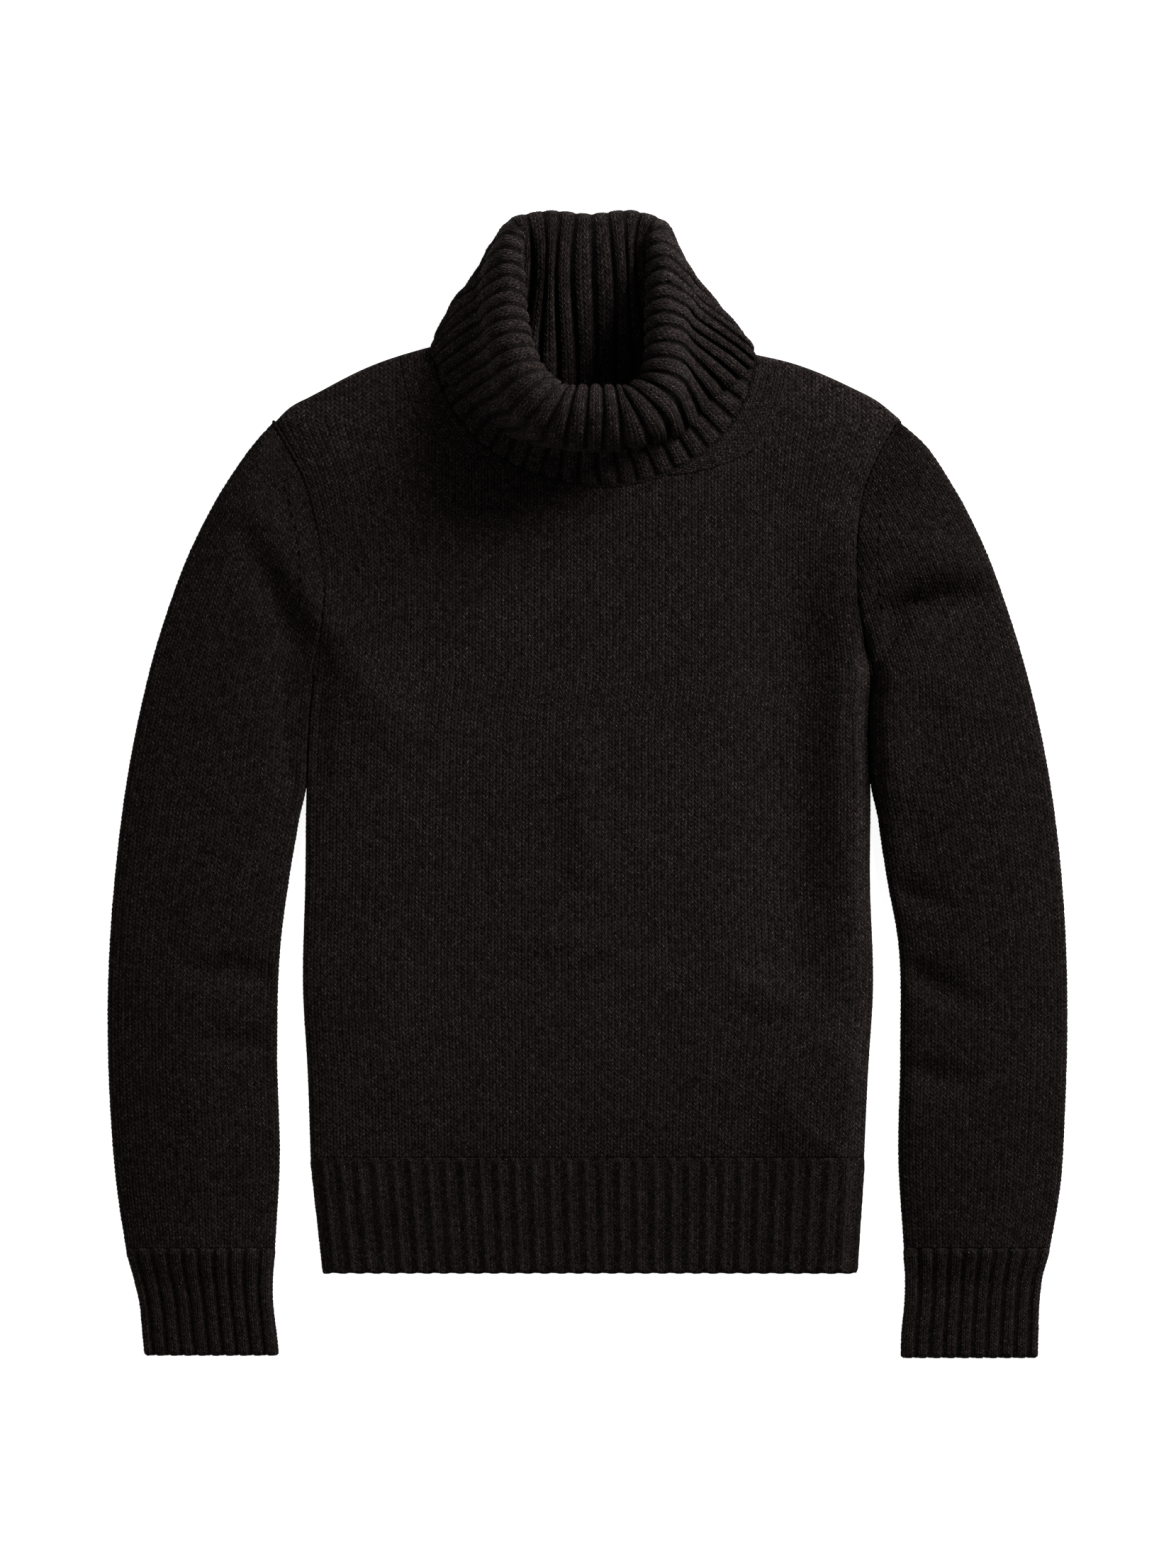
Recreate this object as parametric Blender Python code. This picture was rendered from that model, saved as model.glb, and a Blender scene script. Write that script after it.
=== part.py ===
"""Fully fashioned turtleneck sweater, laid flat on its back with the rolled collar standing open.

The floor is the XY plane, the hem points to -Y, the collar to +Y and the front panel faces +Z.
Sizes in the tables are millimetres; meshes are made in metres.
"""
import math

import bmesh
import bpy
import numpy as np

MM = 0.001

# Driving sizes (mm)
CLOTH = 3.0              # thickness of the knitted wall
SEAM_GAP = 0.3           # clearance between two pieces at a seam
SLIT = 0.6               # least height of the flat hollow inside a sleeve or cuff
LOFT = 2.6               # how far the front floats above the back, away from the edges
LOFT_RUN = 18.0          # distance over which it rises to that
LOFT_MOST = 3.5          # never more than this, folds included
CUFF_LOFT = 1.0
EDGE_WALL = 0.9          # wall left at the outermost line of a rounded side

HEM_JOIN_Y = -248.0      # where the plain knit turns into rib
HEM_END_Y = -324.0
HEM_DRAW_IN = (8.5, 5.0)  # how much narrower the rib ends on the left and the right
CUFF_JOIN_Y = -308.0
CUFF_END_Y = {"left": -378.4, "right": -380.0}
HEM_RIBS = 32
CUFF_RIBS = 9            # on the upper side of a cuff
COLLAR_RIBS = 42         # all round
RIB_RISE = 1.2           # height of a knit rib above the groove beside it
RIB_STEPS = 3            # columns of points in one rib: groove, shoulder, shoulder

NECK_LEFT = (-101.8, 290.2)
NECK_RIGHT = (111.2, 284.6)
NECK_DEPTH_FRONT = 90.2
NECK_DEPTH_BACK = 30.0
NECK_SEGMENTS = 16
FLARE_WIDTH = 85.0       # how far in from an armhole the wales lean with it
UNDERARM_Y = 75.0

CHARCOAL = (0.013, 0.010, 0.009, 1.0)
RIB_CHARCOAL = (0.011, 0.009, 0.008, 1.0)

# Side edges and armholes of the body, from the hem up to the shoulder tips
SIDE_OUTLINE = {
    "y":     [-248.0, -190.0, -138.0, -63.0, -5.0, 45.0, 75.0, 101.0, 125.0, 155.0, 183.0, 205.0, 220.0,
              240.0],
    "left":  [-183.5, -185.5, -188.5, -187.0, -186.3, -184.3, -181.0, -177.3, -175.0, -176.2, -181.5,
              -188.5, -196.5, -208.6],
    "right": [183.6, 186.3, 189.5, 187.5, 187.8, 186.9, 188.6, 184.0, 180.0, 179.0, 181.8, 189.0, 195.8,
              207.4],
}

# Shoulder lines, from the shoulder tips to the neck
SHOULDER = {
    "x": [-208.6, -199.0, -182.0, -146.0, -101.8, 111.2, 137.0, 174.6, 193.4, 207.4],
    "y": [238.0, 248.0, 257.5, 276.0, 290.2, 284.6, 278.5, 263.0, 253.0, 241.5],
}

# Folded outer edge of the sleeves, down to the cuff
SLEEVE_OUTER = {
    "y":     [229.0, 200.0, 162.0, 106.0, 31.0, -63.0, -140.0, -214.0, -270.0, -308.0],
    "left":  [-218.0, -239.0, -259.8, -281.3, -300.2, -313.5, -318.0, -316.5, -311.8, -306.0],
    "right": [219.8, 240.9, 261.0, 281.8, 301.5, 314.8, 318.4, 317.0, 313.4, 306.8],
}

# Folded inner edge of the sleeves, from the underarm down to the cuff
SLEEVE_INNER = {
    "y":     [31.0, -7.0, -63.0, -101.0, -176.0, -251.0, -308.0],
    "left":  [-186.2, -188.8, -197.6, -202.8, -205.6, -203.9, -207.0],
    "right": [190.9, 191.3, 198.6, 205.6, 207.5, 206.3, 209.9],
}

# Cuffs, from the join to the open end
CUFF_SECTIONS = {
    "y":           [-308.0, -326.0, -345.0, -364.0, -380.0],
    "left_outer":  [-306.0, -300.8, -296.3, -294.6, -293.0],
    "left_inner":  [-207.0, -208.9, -208.9, -206.6, -204.8],
    "right_inner": [209.9, 211.2, 210.8, 208.9, 208.4],
    "right_outer": [306.8, 301.6, 299.2, 298.6, 298.2],
}

# Folds pressed into the upper layer: a line from (x0, y0) to (x1, y1), its half width and its height
FOLDS = {
    "x0":     [151.0, 114.5, -5.0, -232.0, 130.0, 100.0, -196.0, 195.0, 205.0, 185.0, -262.0, -250.0, 205.0,
               207.0],
    "y0":     [170.0, 62.0, 20.0, 188.0, -165.0, -132.0, 130.0, 62.0, 98.0, 166.0, -123.0, -170.0, -113.0,
               -171.0],
    "x1":     [151.0, 114.5, -5.0, -128.0, 130.0, 136.0, -192.0, 193.0, 262.0, 256.0, -206.0, -211.0, 246.0,
               230.0],
    "y1":     [-130.0, -120.0, -57.0, 36.0, -205.0, -139.0, 0.0, 0.0, 134.0, 136.0, -127.0, -174.0, -152.0,
               -183.0],
    "width":  [20.0, 12.0, 9.0, 13.0, 30.0, 7.0, 13.0, 8.0, 8.0, 12.0, 7.0, 6.0, 7.0, 6.0],
    "height": [-2.4, -1.0, 0.6, 1.4, -0.9, 0.7, -2.2, -2.2, -2.4, 1.2, -1.1, -0.8, -1.1, -0.8],
}

# Collar, a row for each section round the neck, from the centre back by way of the left side: the crest of
# the roll, its lean from upright to lying flat, the bulges beside it on the inside and the outside with
# their drop below the crest, and the free edge of the part that is turned over
COLLAR = {
    "crest_x":     [1.6, -29.8, -48.0, -54.3, -56.2, -54.3, -49.1, -40.2, -22.8, 4.5, 30.3, 46.8, 51.5,
                    52.4, 52.9, 51.5, 45.3, 31.3],
    "crest_y":     [374.8, 376.5, 368.8, 354.1, 331.6, 308.1, 284.6, 263.4, 247.0, 242.3, 246.0, 262.0,
                    284.6, 308.1, 331.6, 354.1, 368.8, 376.5],
    "crest_z":     [4.5, 4.8, 10.0, 20.0, 33.0, 45.0, 54.0, 61.0, 67.0, 70.0, 68.0, 62.0, 55.0, 45.0, 33.0,
                    20.0, 10.0, 4.8],
    "lean":        [90.0, 88.0, 62.0, 40.0, 22.0, 10.0, 4.0, 0.0, 0.0, 0.0, 0.0, 0.0, 4.0, 10.0, 22.0, 40.0,
                    62.0, 88.0],
    "inside":      [2.6, 2.6, 6.5, 11.4, 13.3, 13.0, 12.8, 15.0, 16.5, 18.4, 16.5, 12.5, 11.8, 12.2, 12.2,
                    11.4, 6.5, 2.6],
    "inside_drop": [-3.0, -3.0, -1.5, 3.0, 9.0, 11.0, 13.0, 15.0, 16.0, 16.0, 16.0, 15.0, 13.0, 11.0, 9.0,
                    3.0, -1.5, -3.0],
    "outside":     [-2.6, -2.6, 1.5, 8.4, 14.0, 13.5, 15.5, 18.5, 20.5, 20.5, 19.0, 15.0, 13.0, 13.5, 16.5,
                    11.5, 2.0, -2.6],
    "outside_drop": [3.0, 3.2, 8.3, 12.5, 12.5, 15.0, 17.0, 18.0, 17.0, 16.0, 17.0, 18.0, 17.0, 15.0, 12.5,
                     12.5, 8.3, 3.2],
    "edge_x":      [1.6, -36.0, -66.0, -92.5, -98.8, -96.5, -86.2, -68.4, -43.9, 4.5, 40.7, 66.5, 84.4,
                    101.8, 106.5, 93.5, 69.0, 36.0],
    "edge_y":      [308.0, 307.0, 304.5, 303.0, 296.5, 281.0, 262.0, 247.0, 229.6, 222.5, 226.0, 235.2,
                    256.4, 275.2, 292.0, 302.5, 304.5, 307.0],
    "edge_z":      [1.6, 1.6, 1.8, 4.0, 10.0, 14.0, 16.5, 19.5, 23.0, 25.5, 25.0, 23.0, 19.5, 15.0, 10.0,
                    4.0, 1.8, 1.6],
}
STAND_LEAVE = (0.42, 4.9)   # the stand leaves the seam almost level: handle as a share of the way, and its rise
STAND_PART = 1.7            # the front layer rises by this more than the back layer
STAND_ARRIVE = 0.4
STAND_DIP = 0.75            # most of the stand's height that its upper handle may take
ROLL_HANDLE = 0.55
FLAP_LEAVE = 0.3
FLAP_SPREAD = 0.6           # how far the turned part leaves the roll towards its edge, not straight down
FLAP_ARRIVE = 0.35
CORNER_PINCH = (52.0, 20.0, 0.9)   # the ribs sink where the roll turns its back corners: lean, range, share
SECTION_STEPS = ((0.0, 0.05, 0.27, 0.55), (0.0, 0.5), (0.0, 0.5), (0.0, 0.5, 0.94, 1.0))
CORNER_INSET = 2.0          # the seam's fold at the shoulder keeps clear of the panels' points
CORNER_RUN = 9.0
FOLD_RUN = 2.0              # below the shoulder point, where the seam passes from the back layer to the front
FOLD_CLEAR = (8.0, 24.0)    # the ribs fade beside the shoulder fold, where the layers touch
FOLD_THIN = 0.75            # share of a rib's height by which the cloth is squeezed inside that fold
FOLD_RISE = 0.8
RIB_FADE_LEAN = (50.0, 75.0)   # the turned part is plain where it lies on the floor


def smooth_curve(xs, ys, x):
    """Value at x of a curve through (xs, ys) with Catmull-Rom slopes."""
    xs, ys = np.asarray(xs, float), np.asarray(ys, float)
    if xs[0] > xs[-1]:
        xs, ys = xs[::-1], ys[::-1]
    slopes = np.gradient(ys, xs)
    x = np.clip(x, xs[0], xs[-1])
    k = np.clip(np.searchsorted(xs, x, side="right") - 1, 0, len(xs) - 2)
    h = xs[k + 1] - xs[k]
    t = (x - xs[k]) / h
    return ((2 * t**3 - 3 * t**2 + 1) * ys[k] + (t**3 - 2 * t**2 + t) * h * slopes[k]
            + (3 * t**2 - 2 * t**3) * ys[k + 1] + (t**3 - t**2) * h * slopes[k + 1])


def smooth_step(t):
    t = np.clip(t, 0.0, 1.0)
    return t * t * (3 - 2 * t)


def along(points, shares):
    """Points at the given shares of a polyline's length."""
    points = np.asarray(points, float)
    run = np.concatenate([[0.0], np.cumsum(np.linalg.norm(np.diff(points, axis=0), axis=1))])
    at = np.asarray(shares) * run[-1]
    return np.stack([np.interp(at, run, points[:, k]) for k in range(points.shape[1])], -1)


# Outline of the body -------------------------------------------------------------------------------

def side_x(y, side):
    return smooth_curve(SIDE_OUTLINE["y"], SIDE_OUTLINE[side], y)


def shoulder_y(x):
    return smooth_curve(SHOULDER["x"], SHOULDER["y"], x)


def neck_y(x, depth):
    """Half ellipse hung between the two neck points."""
    middle = (NECK_LEFT[0] + NECK_RIGHT[0]) / 2
    half = (NECK_RIGHT[0] - NECK_LEFT[0]) / 2
    level = np.interp(x, [NECK_LEFT[0], NECK_RIGHT[0]], [NECK_LEFT[1], NECK_RIGHT[1]])
    return level - depth * np.sqrt(np.clip(1 - ((x - middle) / half) ** 2, 0, 1))


def fold_height(x, y):
    """Sum of the pressed folds, each a soft ridge or trough that fades at its ends."""
    total = 0.0
    for x0, y0, x1, y1, width, height in zip(*FOLDS.values()):
        dx, dy = x1 - x0, y1 - y0
        t = np.clip(((x - x0) * dx + (y - y0) * dy) / (dx * dx + dy * dy), 0, 1)
        away = np.hypot(x - x0 - t * dx, y - y0 - t * dy)
        total += height * math.exp(-0.5 * (away / width) ** 2) * (0.55 + 0.45 * math.sin(math.pi * t))
    return total


def lift(x, y, edge_distance):
    """Height of the front's underside above the layer it lies on."""
    crown = LOFT * (1 - math.exp(-edge_distance / LOFT_RUN))
    return float(np.clip(crown + fold_height(x, y), 0.0, LOFT_MOST))


# Mesh helpers --------------------------------------------------------------------------------------

def make_solid(name, vertices, faces, colour):
    """One closed mesh object with its own plain knit material; vertices are in mm."""
    mesh = bpy.data.meshes.new(name)
    mesh.from_pydata([tuple(MM * c for c in v) for v in vertices], [], [tuple(f) for f in faces])
    outwards = bmesh.new()
    outwards.from_mesh(mesh)
    bmesh.ops.recalc_face_normals(outwards, faces=outwards.faces)
    outwards.to_mesh(mesh)
    outwards.free()
    body = bpy.data.objects.new(name, mesh)
    bpy.context.scene.collection.objects.link(body)
    material = bpy.data.materials.new(name)
    material.use_nodes = True
    shader = material.node_tree.nodes["Principled BSDF"]
    shader.inputs["Base Color"].default_value = colour
    shader.inputs["Roughness"].default_value = 0.95
    shader.inputs["Metallic"].default_value = 0.0
    mesh.materials.append(material)
    mesh.shade_smooth()
    return body


def column_strip(a, b, rows_a, rows_b):
    """Faces between two neighbouring columns that share their lower rows; each ends in two edge points."""
    faces = []
    shared = min(rows_a, rows_b)
    for k in range(shared - 1):
        faces.append((a[k], b[k], b[k + 1], a[k + 1]))
    edge_a, edge_b = a[rows_a], b[rows_b]
    if rows_a <= rows_b:
        faces.append((a[shared - 1], b[shared - 1], edge_a))
        rim = list(b[shared - 1:rows_b]) + [edge_b]
        faces += [(edge_a, rim[k], rim[k + 1]) for k in range(len(rim) - 1)]
    else:
        faces.append((a[shared - 1], b[shared - 1], edge_b))
        rim = list(a[shared - 1:rows_a]) + [edge_a]
        faces += [(edge_b, rim[k + 1], rim[k]) for k in range(len(rim) - 1)]
    faces.append((edge_a, edge_b, b[rows_b + 1], a[rows_a + 1]))
    return faces


def panel_solid(name, columns, rows, upper, lower, colour):
    """Closed panel from columns of plan points with an upper and a lower height for each point.

    columns[i] is a list of (x, y), the last two being the rim; rows[i] counts the points before them.
    """
    vertices, top, bottom = [], [], []
    for height, ids in ((upper, top), (lower, bottom)):
        for i, column in enumerate(columns):
            ids.append(list(range(len(vertices), len(vertices) + len(column))))
            vertices += [(x, y, height[i][k]) for k, (x, y) in enumerate(column)]
    faces = []
    for i in range(len(columns) - 1):
        faces += column_strip(top[i], top[i + 1], rows[i], rows[i + 1])
        faces += [f[::-1] for f in column_strip(bottom[i], bottom[i + 1], rows[i], rows[i + 1])]
        faces.append((top[i][0], bottom[i][0], bottom[i + 1][0], top[i + 1][0]))
        faces.append((top[i + 1][-1], bottom[i + 1][-1], bottom[i][-1], top[i][-1]))
    for ids, low, turn in ((top[0], bottom[0], 1), (top[-1], bottom[-1], -1)):
        for k in range(len(ids) - 1):
            faces.append((ids[k], ids[k + 1], low[k + 1], low[k])[::turn])
    return make_solid(name, vertices, faces, colour)


# Body panels ---------------------------------------------------------------------------------------

EDGE_STEPS = (0.0, 0.9, 3.0, 12.0, 28.0, 46.0, 65.0)   # columns in from a side edge
FRONT_PITCH = 26.0       # spacing of the rows of points
BACK_PITCH = 160.0
FRONT_ARMHOLE_PITCH = 19.0
BACK_ARMHOLE_PITCH = 19.0
RIM_WIDTH = 3.0


def edge_fullness(distance):
    """Share of the cloth's thickness left at a distance from a rounded side: a quarter round."""
    d = np.clip(distance / CLOTH, 0, 1)
    return EDGE_WALL / CLOTH + (1 - EDGE_WALL / CLOTH) * np.sqrt(1 - (1 - d) ** 2)


def body_columns(depth, pitch, armhole_pitch):
    """Plan points of a body panel, column by column, with its wales leaning along the armholes."""
    angles = np.linspace(0, math.pi, NECK_SEGMENTS + 1)
    middle = (NECK_LEFT[0] + NECK_RIGHT[0]) / 2
    half = (NECK_RIGHT[0] - NECK_LEFT[0]) / 2
    stations = [("left", d) for d in EDGE_STEPS]
    stations += [("neck", middle - half * math.cos(a)) for a in angles]
    stations += [("right", d) for d in EDGE_STEPS[::-1]]
    heights = list(np.arange(HEM_JOIN_Y, UNDERARM_Y, pitch))
    heights += list(np.arange(UNDERARM_Y, NECK_LEFT[1], armhole_pitch))
    columns, rows = [], []
    for kind, value in stations:
        def x_at(y):
            if kind == "neck":
                return value
            edge = side_x(y, kind)
            inner = NECK_LEFT[0] if kind == "left" else NECK_RIGHT[0]
            share = value / FLARE_WIDTH
            if y <= UNDERARM_Y:
                return edge + share * (inner - edge)
            base = side_x(UNDERARM_Y, kind)
            return base + share * (inner - base) + (edge - base) * (1 - share) ** 1.5

        if kind == "neck":
            top = float(neck_y(value, depth))
        else:
            top = shoulder_y(NECK_LEFT[0])
            for _ in range(30):
                top = 0.5 * top + 0.5 * float(shoulder_y(x_at(top)))
        ys = [y for y in heights if y < top - 2 * RIM_WIDTH]
        rows.append(len(ys))
        ys += [top - RIM_WIDTH, top]
        columns.append([(float(x_at(y)), float(y)) for y in ys])
    return columns, rows


def rim_distances(x, y):
    """Distance to the nearest side edge and to the shoulder line or its end at the neck."""
    side = min(x - side_x(y, "left"), side_x(y, "right") - x)
    if NECK_LEFT[0] < x < NECK_RIGHT[0]:
        shoulder = min(math.dist((x, y), NECK_LEFT), math.dist((x, y), NECK_RIGHT))
    else:
        shoulder = float(shoulder_y(x)) - y
    return max(float(side), 0.0), max(shoulder, 0.0)


def body_fullness(x, y):
    """The sides below the armholes and the shoulders are rounded; armholes and neck are cut straight."""
    side, shoulder = rim_distances(x, y)
    if NECK_LEFT[0] < x < NECK_RIGHT[0]:
        return 1.0
    full = 1.0
    if y < UNDERARM_Y:
        full = min(full, edge_fullness(side))
    return min(full, edge_fullness(shoulder))


def front_underside(x, y):
    side, shoulder = rim_distances(x, y)
    hem = max(y - HEM_JOIN_Y, 0.0)
    return CLOTH + SEAM_GAP + lift(x, y, min(side, shoulder, 8.0 + hem))


def make_front():
    columns, rows = body_columns(NECK_DEPTH_FRONT, FRONT_PITCH, FRONT_ARMHOLE_PITCH)
    lower = [[front_underside(x, y) for x, y in column] for column in columns]
    upper = [[low + CLOTH * body_fullness(x, y) for low, (x, y) in zip(lows, column)]
             for lows, column in zip(lower, columns)]
    return panel_solid("front", columns, rows, upper, lower, CHARCOAL)


def make_back():
    columns, rows = body_columns(NECK_DEPTH_BACK, BACK_PITCH, BACK_ARMHOLE_PITCH)
    upper = [[CLOTH] * len(column) for column in columns]
    lower = [[CLOTH * (1 - body_fullness(x, y)) for x, y in column] for column in columns]
    return panel_solid("back", columns, rows, upper, lower, CHARCOAL)


def rib_profile(step):
    """Height of the rib at a column: 0 in the groove and 1 on both shoulders."""
    return 0.0 if step % RIB_STEPS == 0 else 1.0


def rib_share(step):
    """Place of a column across its rib, with the shoulders pushed apart."""
    return (0.0, 0.3, 0.75)[step % RIB_STEPS]


def hem_rows():
    top = HEM_JOIN_Y - SEAM_GAP
    return [HEM_END_Y, HEM_END_Y + 2.5, top - 5.0, top]


def hem_edges(y):
    """The rib draws in a little from the sides of the panel."""
    t = (HEM_JOIN_Y - y) / (HEM_JOIN_Y - HEM_END_Y)
    left = side_x(HEM_JOIN_Y, "left") + HEM_DRAW_IN[0] * t
    right = side_x(HEM_JOIN_Y, "right") - HEM_DRAW_IN[1] * t
    return float(left), float(right)


def make_hem(name, ribbed):
    """Rib band under a panel; only the front one shows its ribs, the back one lies flat on the floor."""
    steps = HEM_RIBS * RIB_STEPS if ribbed else 16
    shares = [(i // RIB_STEPS + rib_share(i)) / HEM_RIBS if ribbed else i / steps for i in range(steps)] + [1.0]
    columns, rows, upper, lower = [], [], [], []
    for i, share in enumerate(shares):
        column, ups, downs = [], [], []
        for k, y in enumerate(hem_rows()):
            left, right = hem_edges(y)
            x = left + share * (right - left)
            full = float(edge_fullness(min(x - left, right - x)))
            if k == 0:
                full = min(full, 0.4)
            raised = rib_profile(i) if ribbed and k not in (0, 3) and 0 < i < steps else 0.0
            column.append((x, y))
            if ribbed:
                low = CLOTH + SEAM_GAP + lift(x, HEM_JOIN_Y, min(x - left, right - x, 8.0))
                ups.append(low + CLOTH * full + RIB_RISE * raised)
                downs.append(low)
            else:
                ups.append(CLOTH)
                downs.append(CLOTH * (1 - full))
        columns.append(column)
        rows.append(len(column) - 2)
        upper.append(ups)
        lower.append(downs)
    return panel_solid(name, columns, rows, upper, lower, RIB_CHARCOAL)


# Sleeves and cuffs ---------------------------------------------------------------------------------

SLEEVE_PITCH = 28.0
UNDERARM_EASE = 0.7      # a little more room where the sleeve turns off the side
UNDERARM_EASE_RUN = 25.0
SEAM_TAPER = 0.6         # how fast the sleeve fills out below the armhole
SIDE_ANGLES = (50.0, 0.0, -50.0)
UPPER_SHARES = (0.0, 0.06, 0.15, 0.27, 0.4, 0.53, 0.66, 0.78, 0.89, 1.0)
LOWER_SHARES = (0.0, 0.35, 0.7, 1.0)


def armhole_x(y, side):
    """Armhole line on the sleeve's side of the seam."""
    out = -1 if side == "left" else 1
    ease = UNDERARM_EASE * np.exp(-((y - UNDERARM_Y) / UNDERARM_EASE_RUN) ** 2)
    return side_x(y, side) + out * (2 * SEAM_GAP + ease)


def sleeve_edges(y, side):
    """Outer and inner fold of a sleeve; above the underarm the inner one runs on beside the outer one."""
    tip_y = SIDE_OUTLINE["y"][-1]
    outer_y, outer_x = [tip_y] + SLEEVE_OUTER["y"], [armhole_x(tip_y, side)] + SLEEVE_OUTER[side]
    outer = smooth_curve(outer_y, outer_x, y)
    inner_y = [UNDERARM_Y] + SLEEVE_INNER["y"]
    inner_x = [armhole_x(UNDERARM_Y, side)] + SLEEVE_INNER[side]
    if y <= UNDERARM_Y:
        return float(outer), float(smooth_curve(inner_y, inner_x, y))
    base, _ = sleeve_edges(UNDERARM_Y, side)
    return float(outer), float(outer) + inner_x[0] - base


def cuff_edges(y, side):
    outer = smooth_curve(CUFF_SECTIONS["y"], CUFF_SECTIONS[side + "_outer"], y)
    inner = smooth_curve(CUFF_SECTIONS["y"], CUFF_SECTIONS[side + "_inner"], y)
    return float(outer), float(inner)


def sleeve_top(side, share, inset):
    """Height at which a column of the sleeve meets the armhole."""
    low, high = UNDERARM_Y, SIDE_OUTLINE["y"][-1]
    out = -1 if side == "left" else 1
    for _ in range(40):
        y = (low + high) / 2
        if out * (column_x(sleeve_edges(y, side), share, inset) - armhole_x(y, side)) > 0:
            low = y
        else:
            high = y
    return low


def column_x(edges, share, inset):
    """Place of a column between the two folds, drawn in by `inset` where the cloth turns over."""
    outer, inner = edges
    towards = 1 if inner > outer else -1
    return outer + towards * inset + share * (inner - outer - 2 * towards * inset)


def tube_stations(ribs):
    """Columns round a flattened tube: share of the width, inset and height for the outside and the inside."""
    radius, slit = CLOTH + SLIT / 2, SLIT / 2
    stations = []
    upper = UPPER_SHARES
    if ribs:
        upper = [(k // RIB_STEPS + rib_share(k)) / ribs for k in range(ribs * RIB_STEPS)] + [1.0]
    for k, share in enumerate(upper):
        rise = rib_profile(k) if ribs and 0 < k < len(upper) - 1 else 0.0
        stations.append((share, radius, 2 * CLOTH + SLIT, radius, CLOTH + SLIT, 1.0, rise))
    for share, angles in ((1.0, SIDE_ANGLES), (0.0, SIDE_ANGLES[::-1])):
        for angle in angles:
            c, s = math.cos(math.radians(angle)), math.sin(math.radians(angle))
            stations.append((share, radius - radius * c, radius + radius * s,
                             radius - slit * c, radius + slit * s, 0.0, 0.0))
        if share == 1.0:
            stations += [(1.0 - low, radius, 0.0, radius, CLOTH, 0.0, 0.0) for low in LOWER_SHARES]
    return stations


def tube_solid(name, stations, edges_at, heights, top_at, lift_at, colour):
    """Flattened tube with an open slit, from columns of points that end on its upper border."""
    walls = []
    vertices = []
    for inset_at, z_at in ((1, 2), (3, 4)):
        columns, rows = [], []
        for station in stations:
            share, inset, z = station[0], station[inset_at], station[z_at]
            lifted, rise = station[5:]
            top = top_at(share, inset)
            ys = [y for y in heights if y < top - 2 * RIM_WIDTH]
            rows.append(len(ys))
            ys += [top - RIM_WIDTH, top]
            ids = []
            for k, y in enumerate(ys):
                x = column_x(edges_at(y), share, inset)
                raised = RIB_RISE * rise if inset_at == 1 and 0 < k < len(ys) - 1 else 0.0
                ids.append(len(vertices))
                vertices.append((x, y, z + lifted * lift_at(x, y, top) + raised))
            columns.append(ids)
        walls.append((columns, rows))
    (outer, outer_rows), (inner, inner_rows) = walls
    faces = []
    for i in range(len(stations)):
        n = (i + 1) % len(stations)
        faces += column_strip(outer[i], outer[n], outer_rows[i], outer_rows[n])
        faces += [f[::-1] for f in column_strip(inner[i], inner[n], inner_rows[i], inner_rows[n])]
        faces.append((outer[i][0], inner[i][0], inner[n][0], outer[n][0]))
        faces.append((outer[n][-1], inner[n][-1], inner[i][-1], outer[i][-1]))
    return make_solid(name, vertices, faces, colour)


def make_sleeve(side):
    heights = np.arange(CUFF_JOIN_Y, SIDE_OUTLINE["y"][-1], SLEEVE_PITCH)

    def lift_at(x, y, top):
        outer, inner = sleeve_edges(y, side)
        return lift(x, y, max(min(abs(x - outer), abs(inner - x), SEAM_TAPER * (top - y)), 0.0))

    return tube_solid("sleeve_" + side, tube_stations(0), lambda y: sleeve_edges(y, side), heights,
                      lambda share, inset: sleeve_top(side, share, inset), lift_at, CHARCOAL)


def make_cuff(side):
    bottom, top = CUFF_END_Y[side], CUFF_JOIN_Y - SEAM_GAP
    heights = [bottom, bottom + 2.5, (bottom + top) / 2]

    def lift_at(x, y, _):
        outer, inner = cuff_edges(y, side)
        return CUFF_LOFT * (1 - math.exp(-min(abs(x - outer), abs(inner - x)) / LOFT_RUN))

    return tube_solid("cuff_" + side, tube_stations(CUFF_RIBS), lambda y: cuff_edges(y, side), heights,
                      lambda share, inset: top, lift_at, RIB_CHARCOAL)


# Collar --------------------------------------------------------------------------------------------

def closed_spline(values, shares, at):
    """Smooth closed curve through values at increasing shares of the loop, read at `at`."""
    values = np.asarray(values, float)
    wrapped = np.concatenate([values[-3:], values, values[:3]])
    marks = np.concatenate([shares[-3:] - 1, shares, shares[:3] + 1])
    return smooth_curve(marks, wrapped, np.asarray(at, float))


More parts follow.
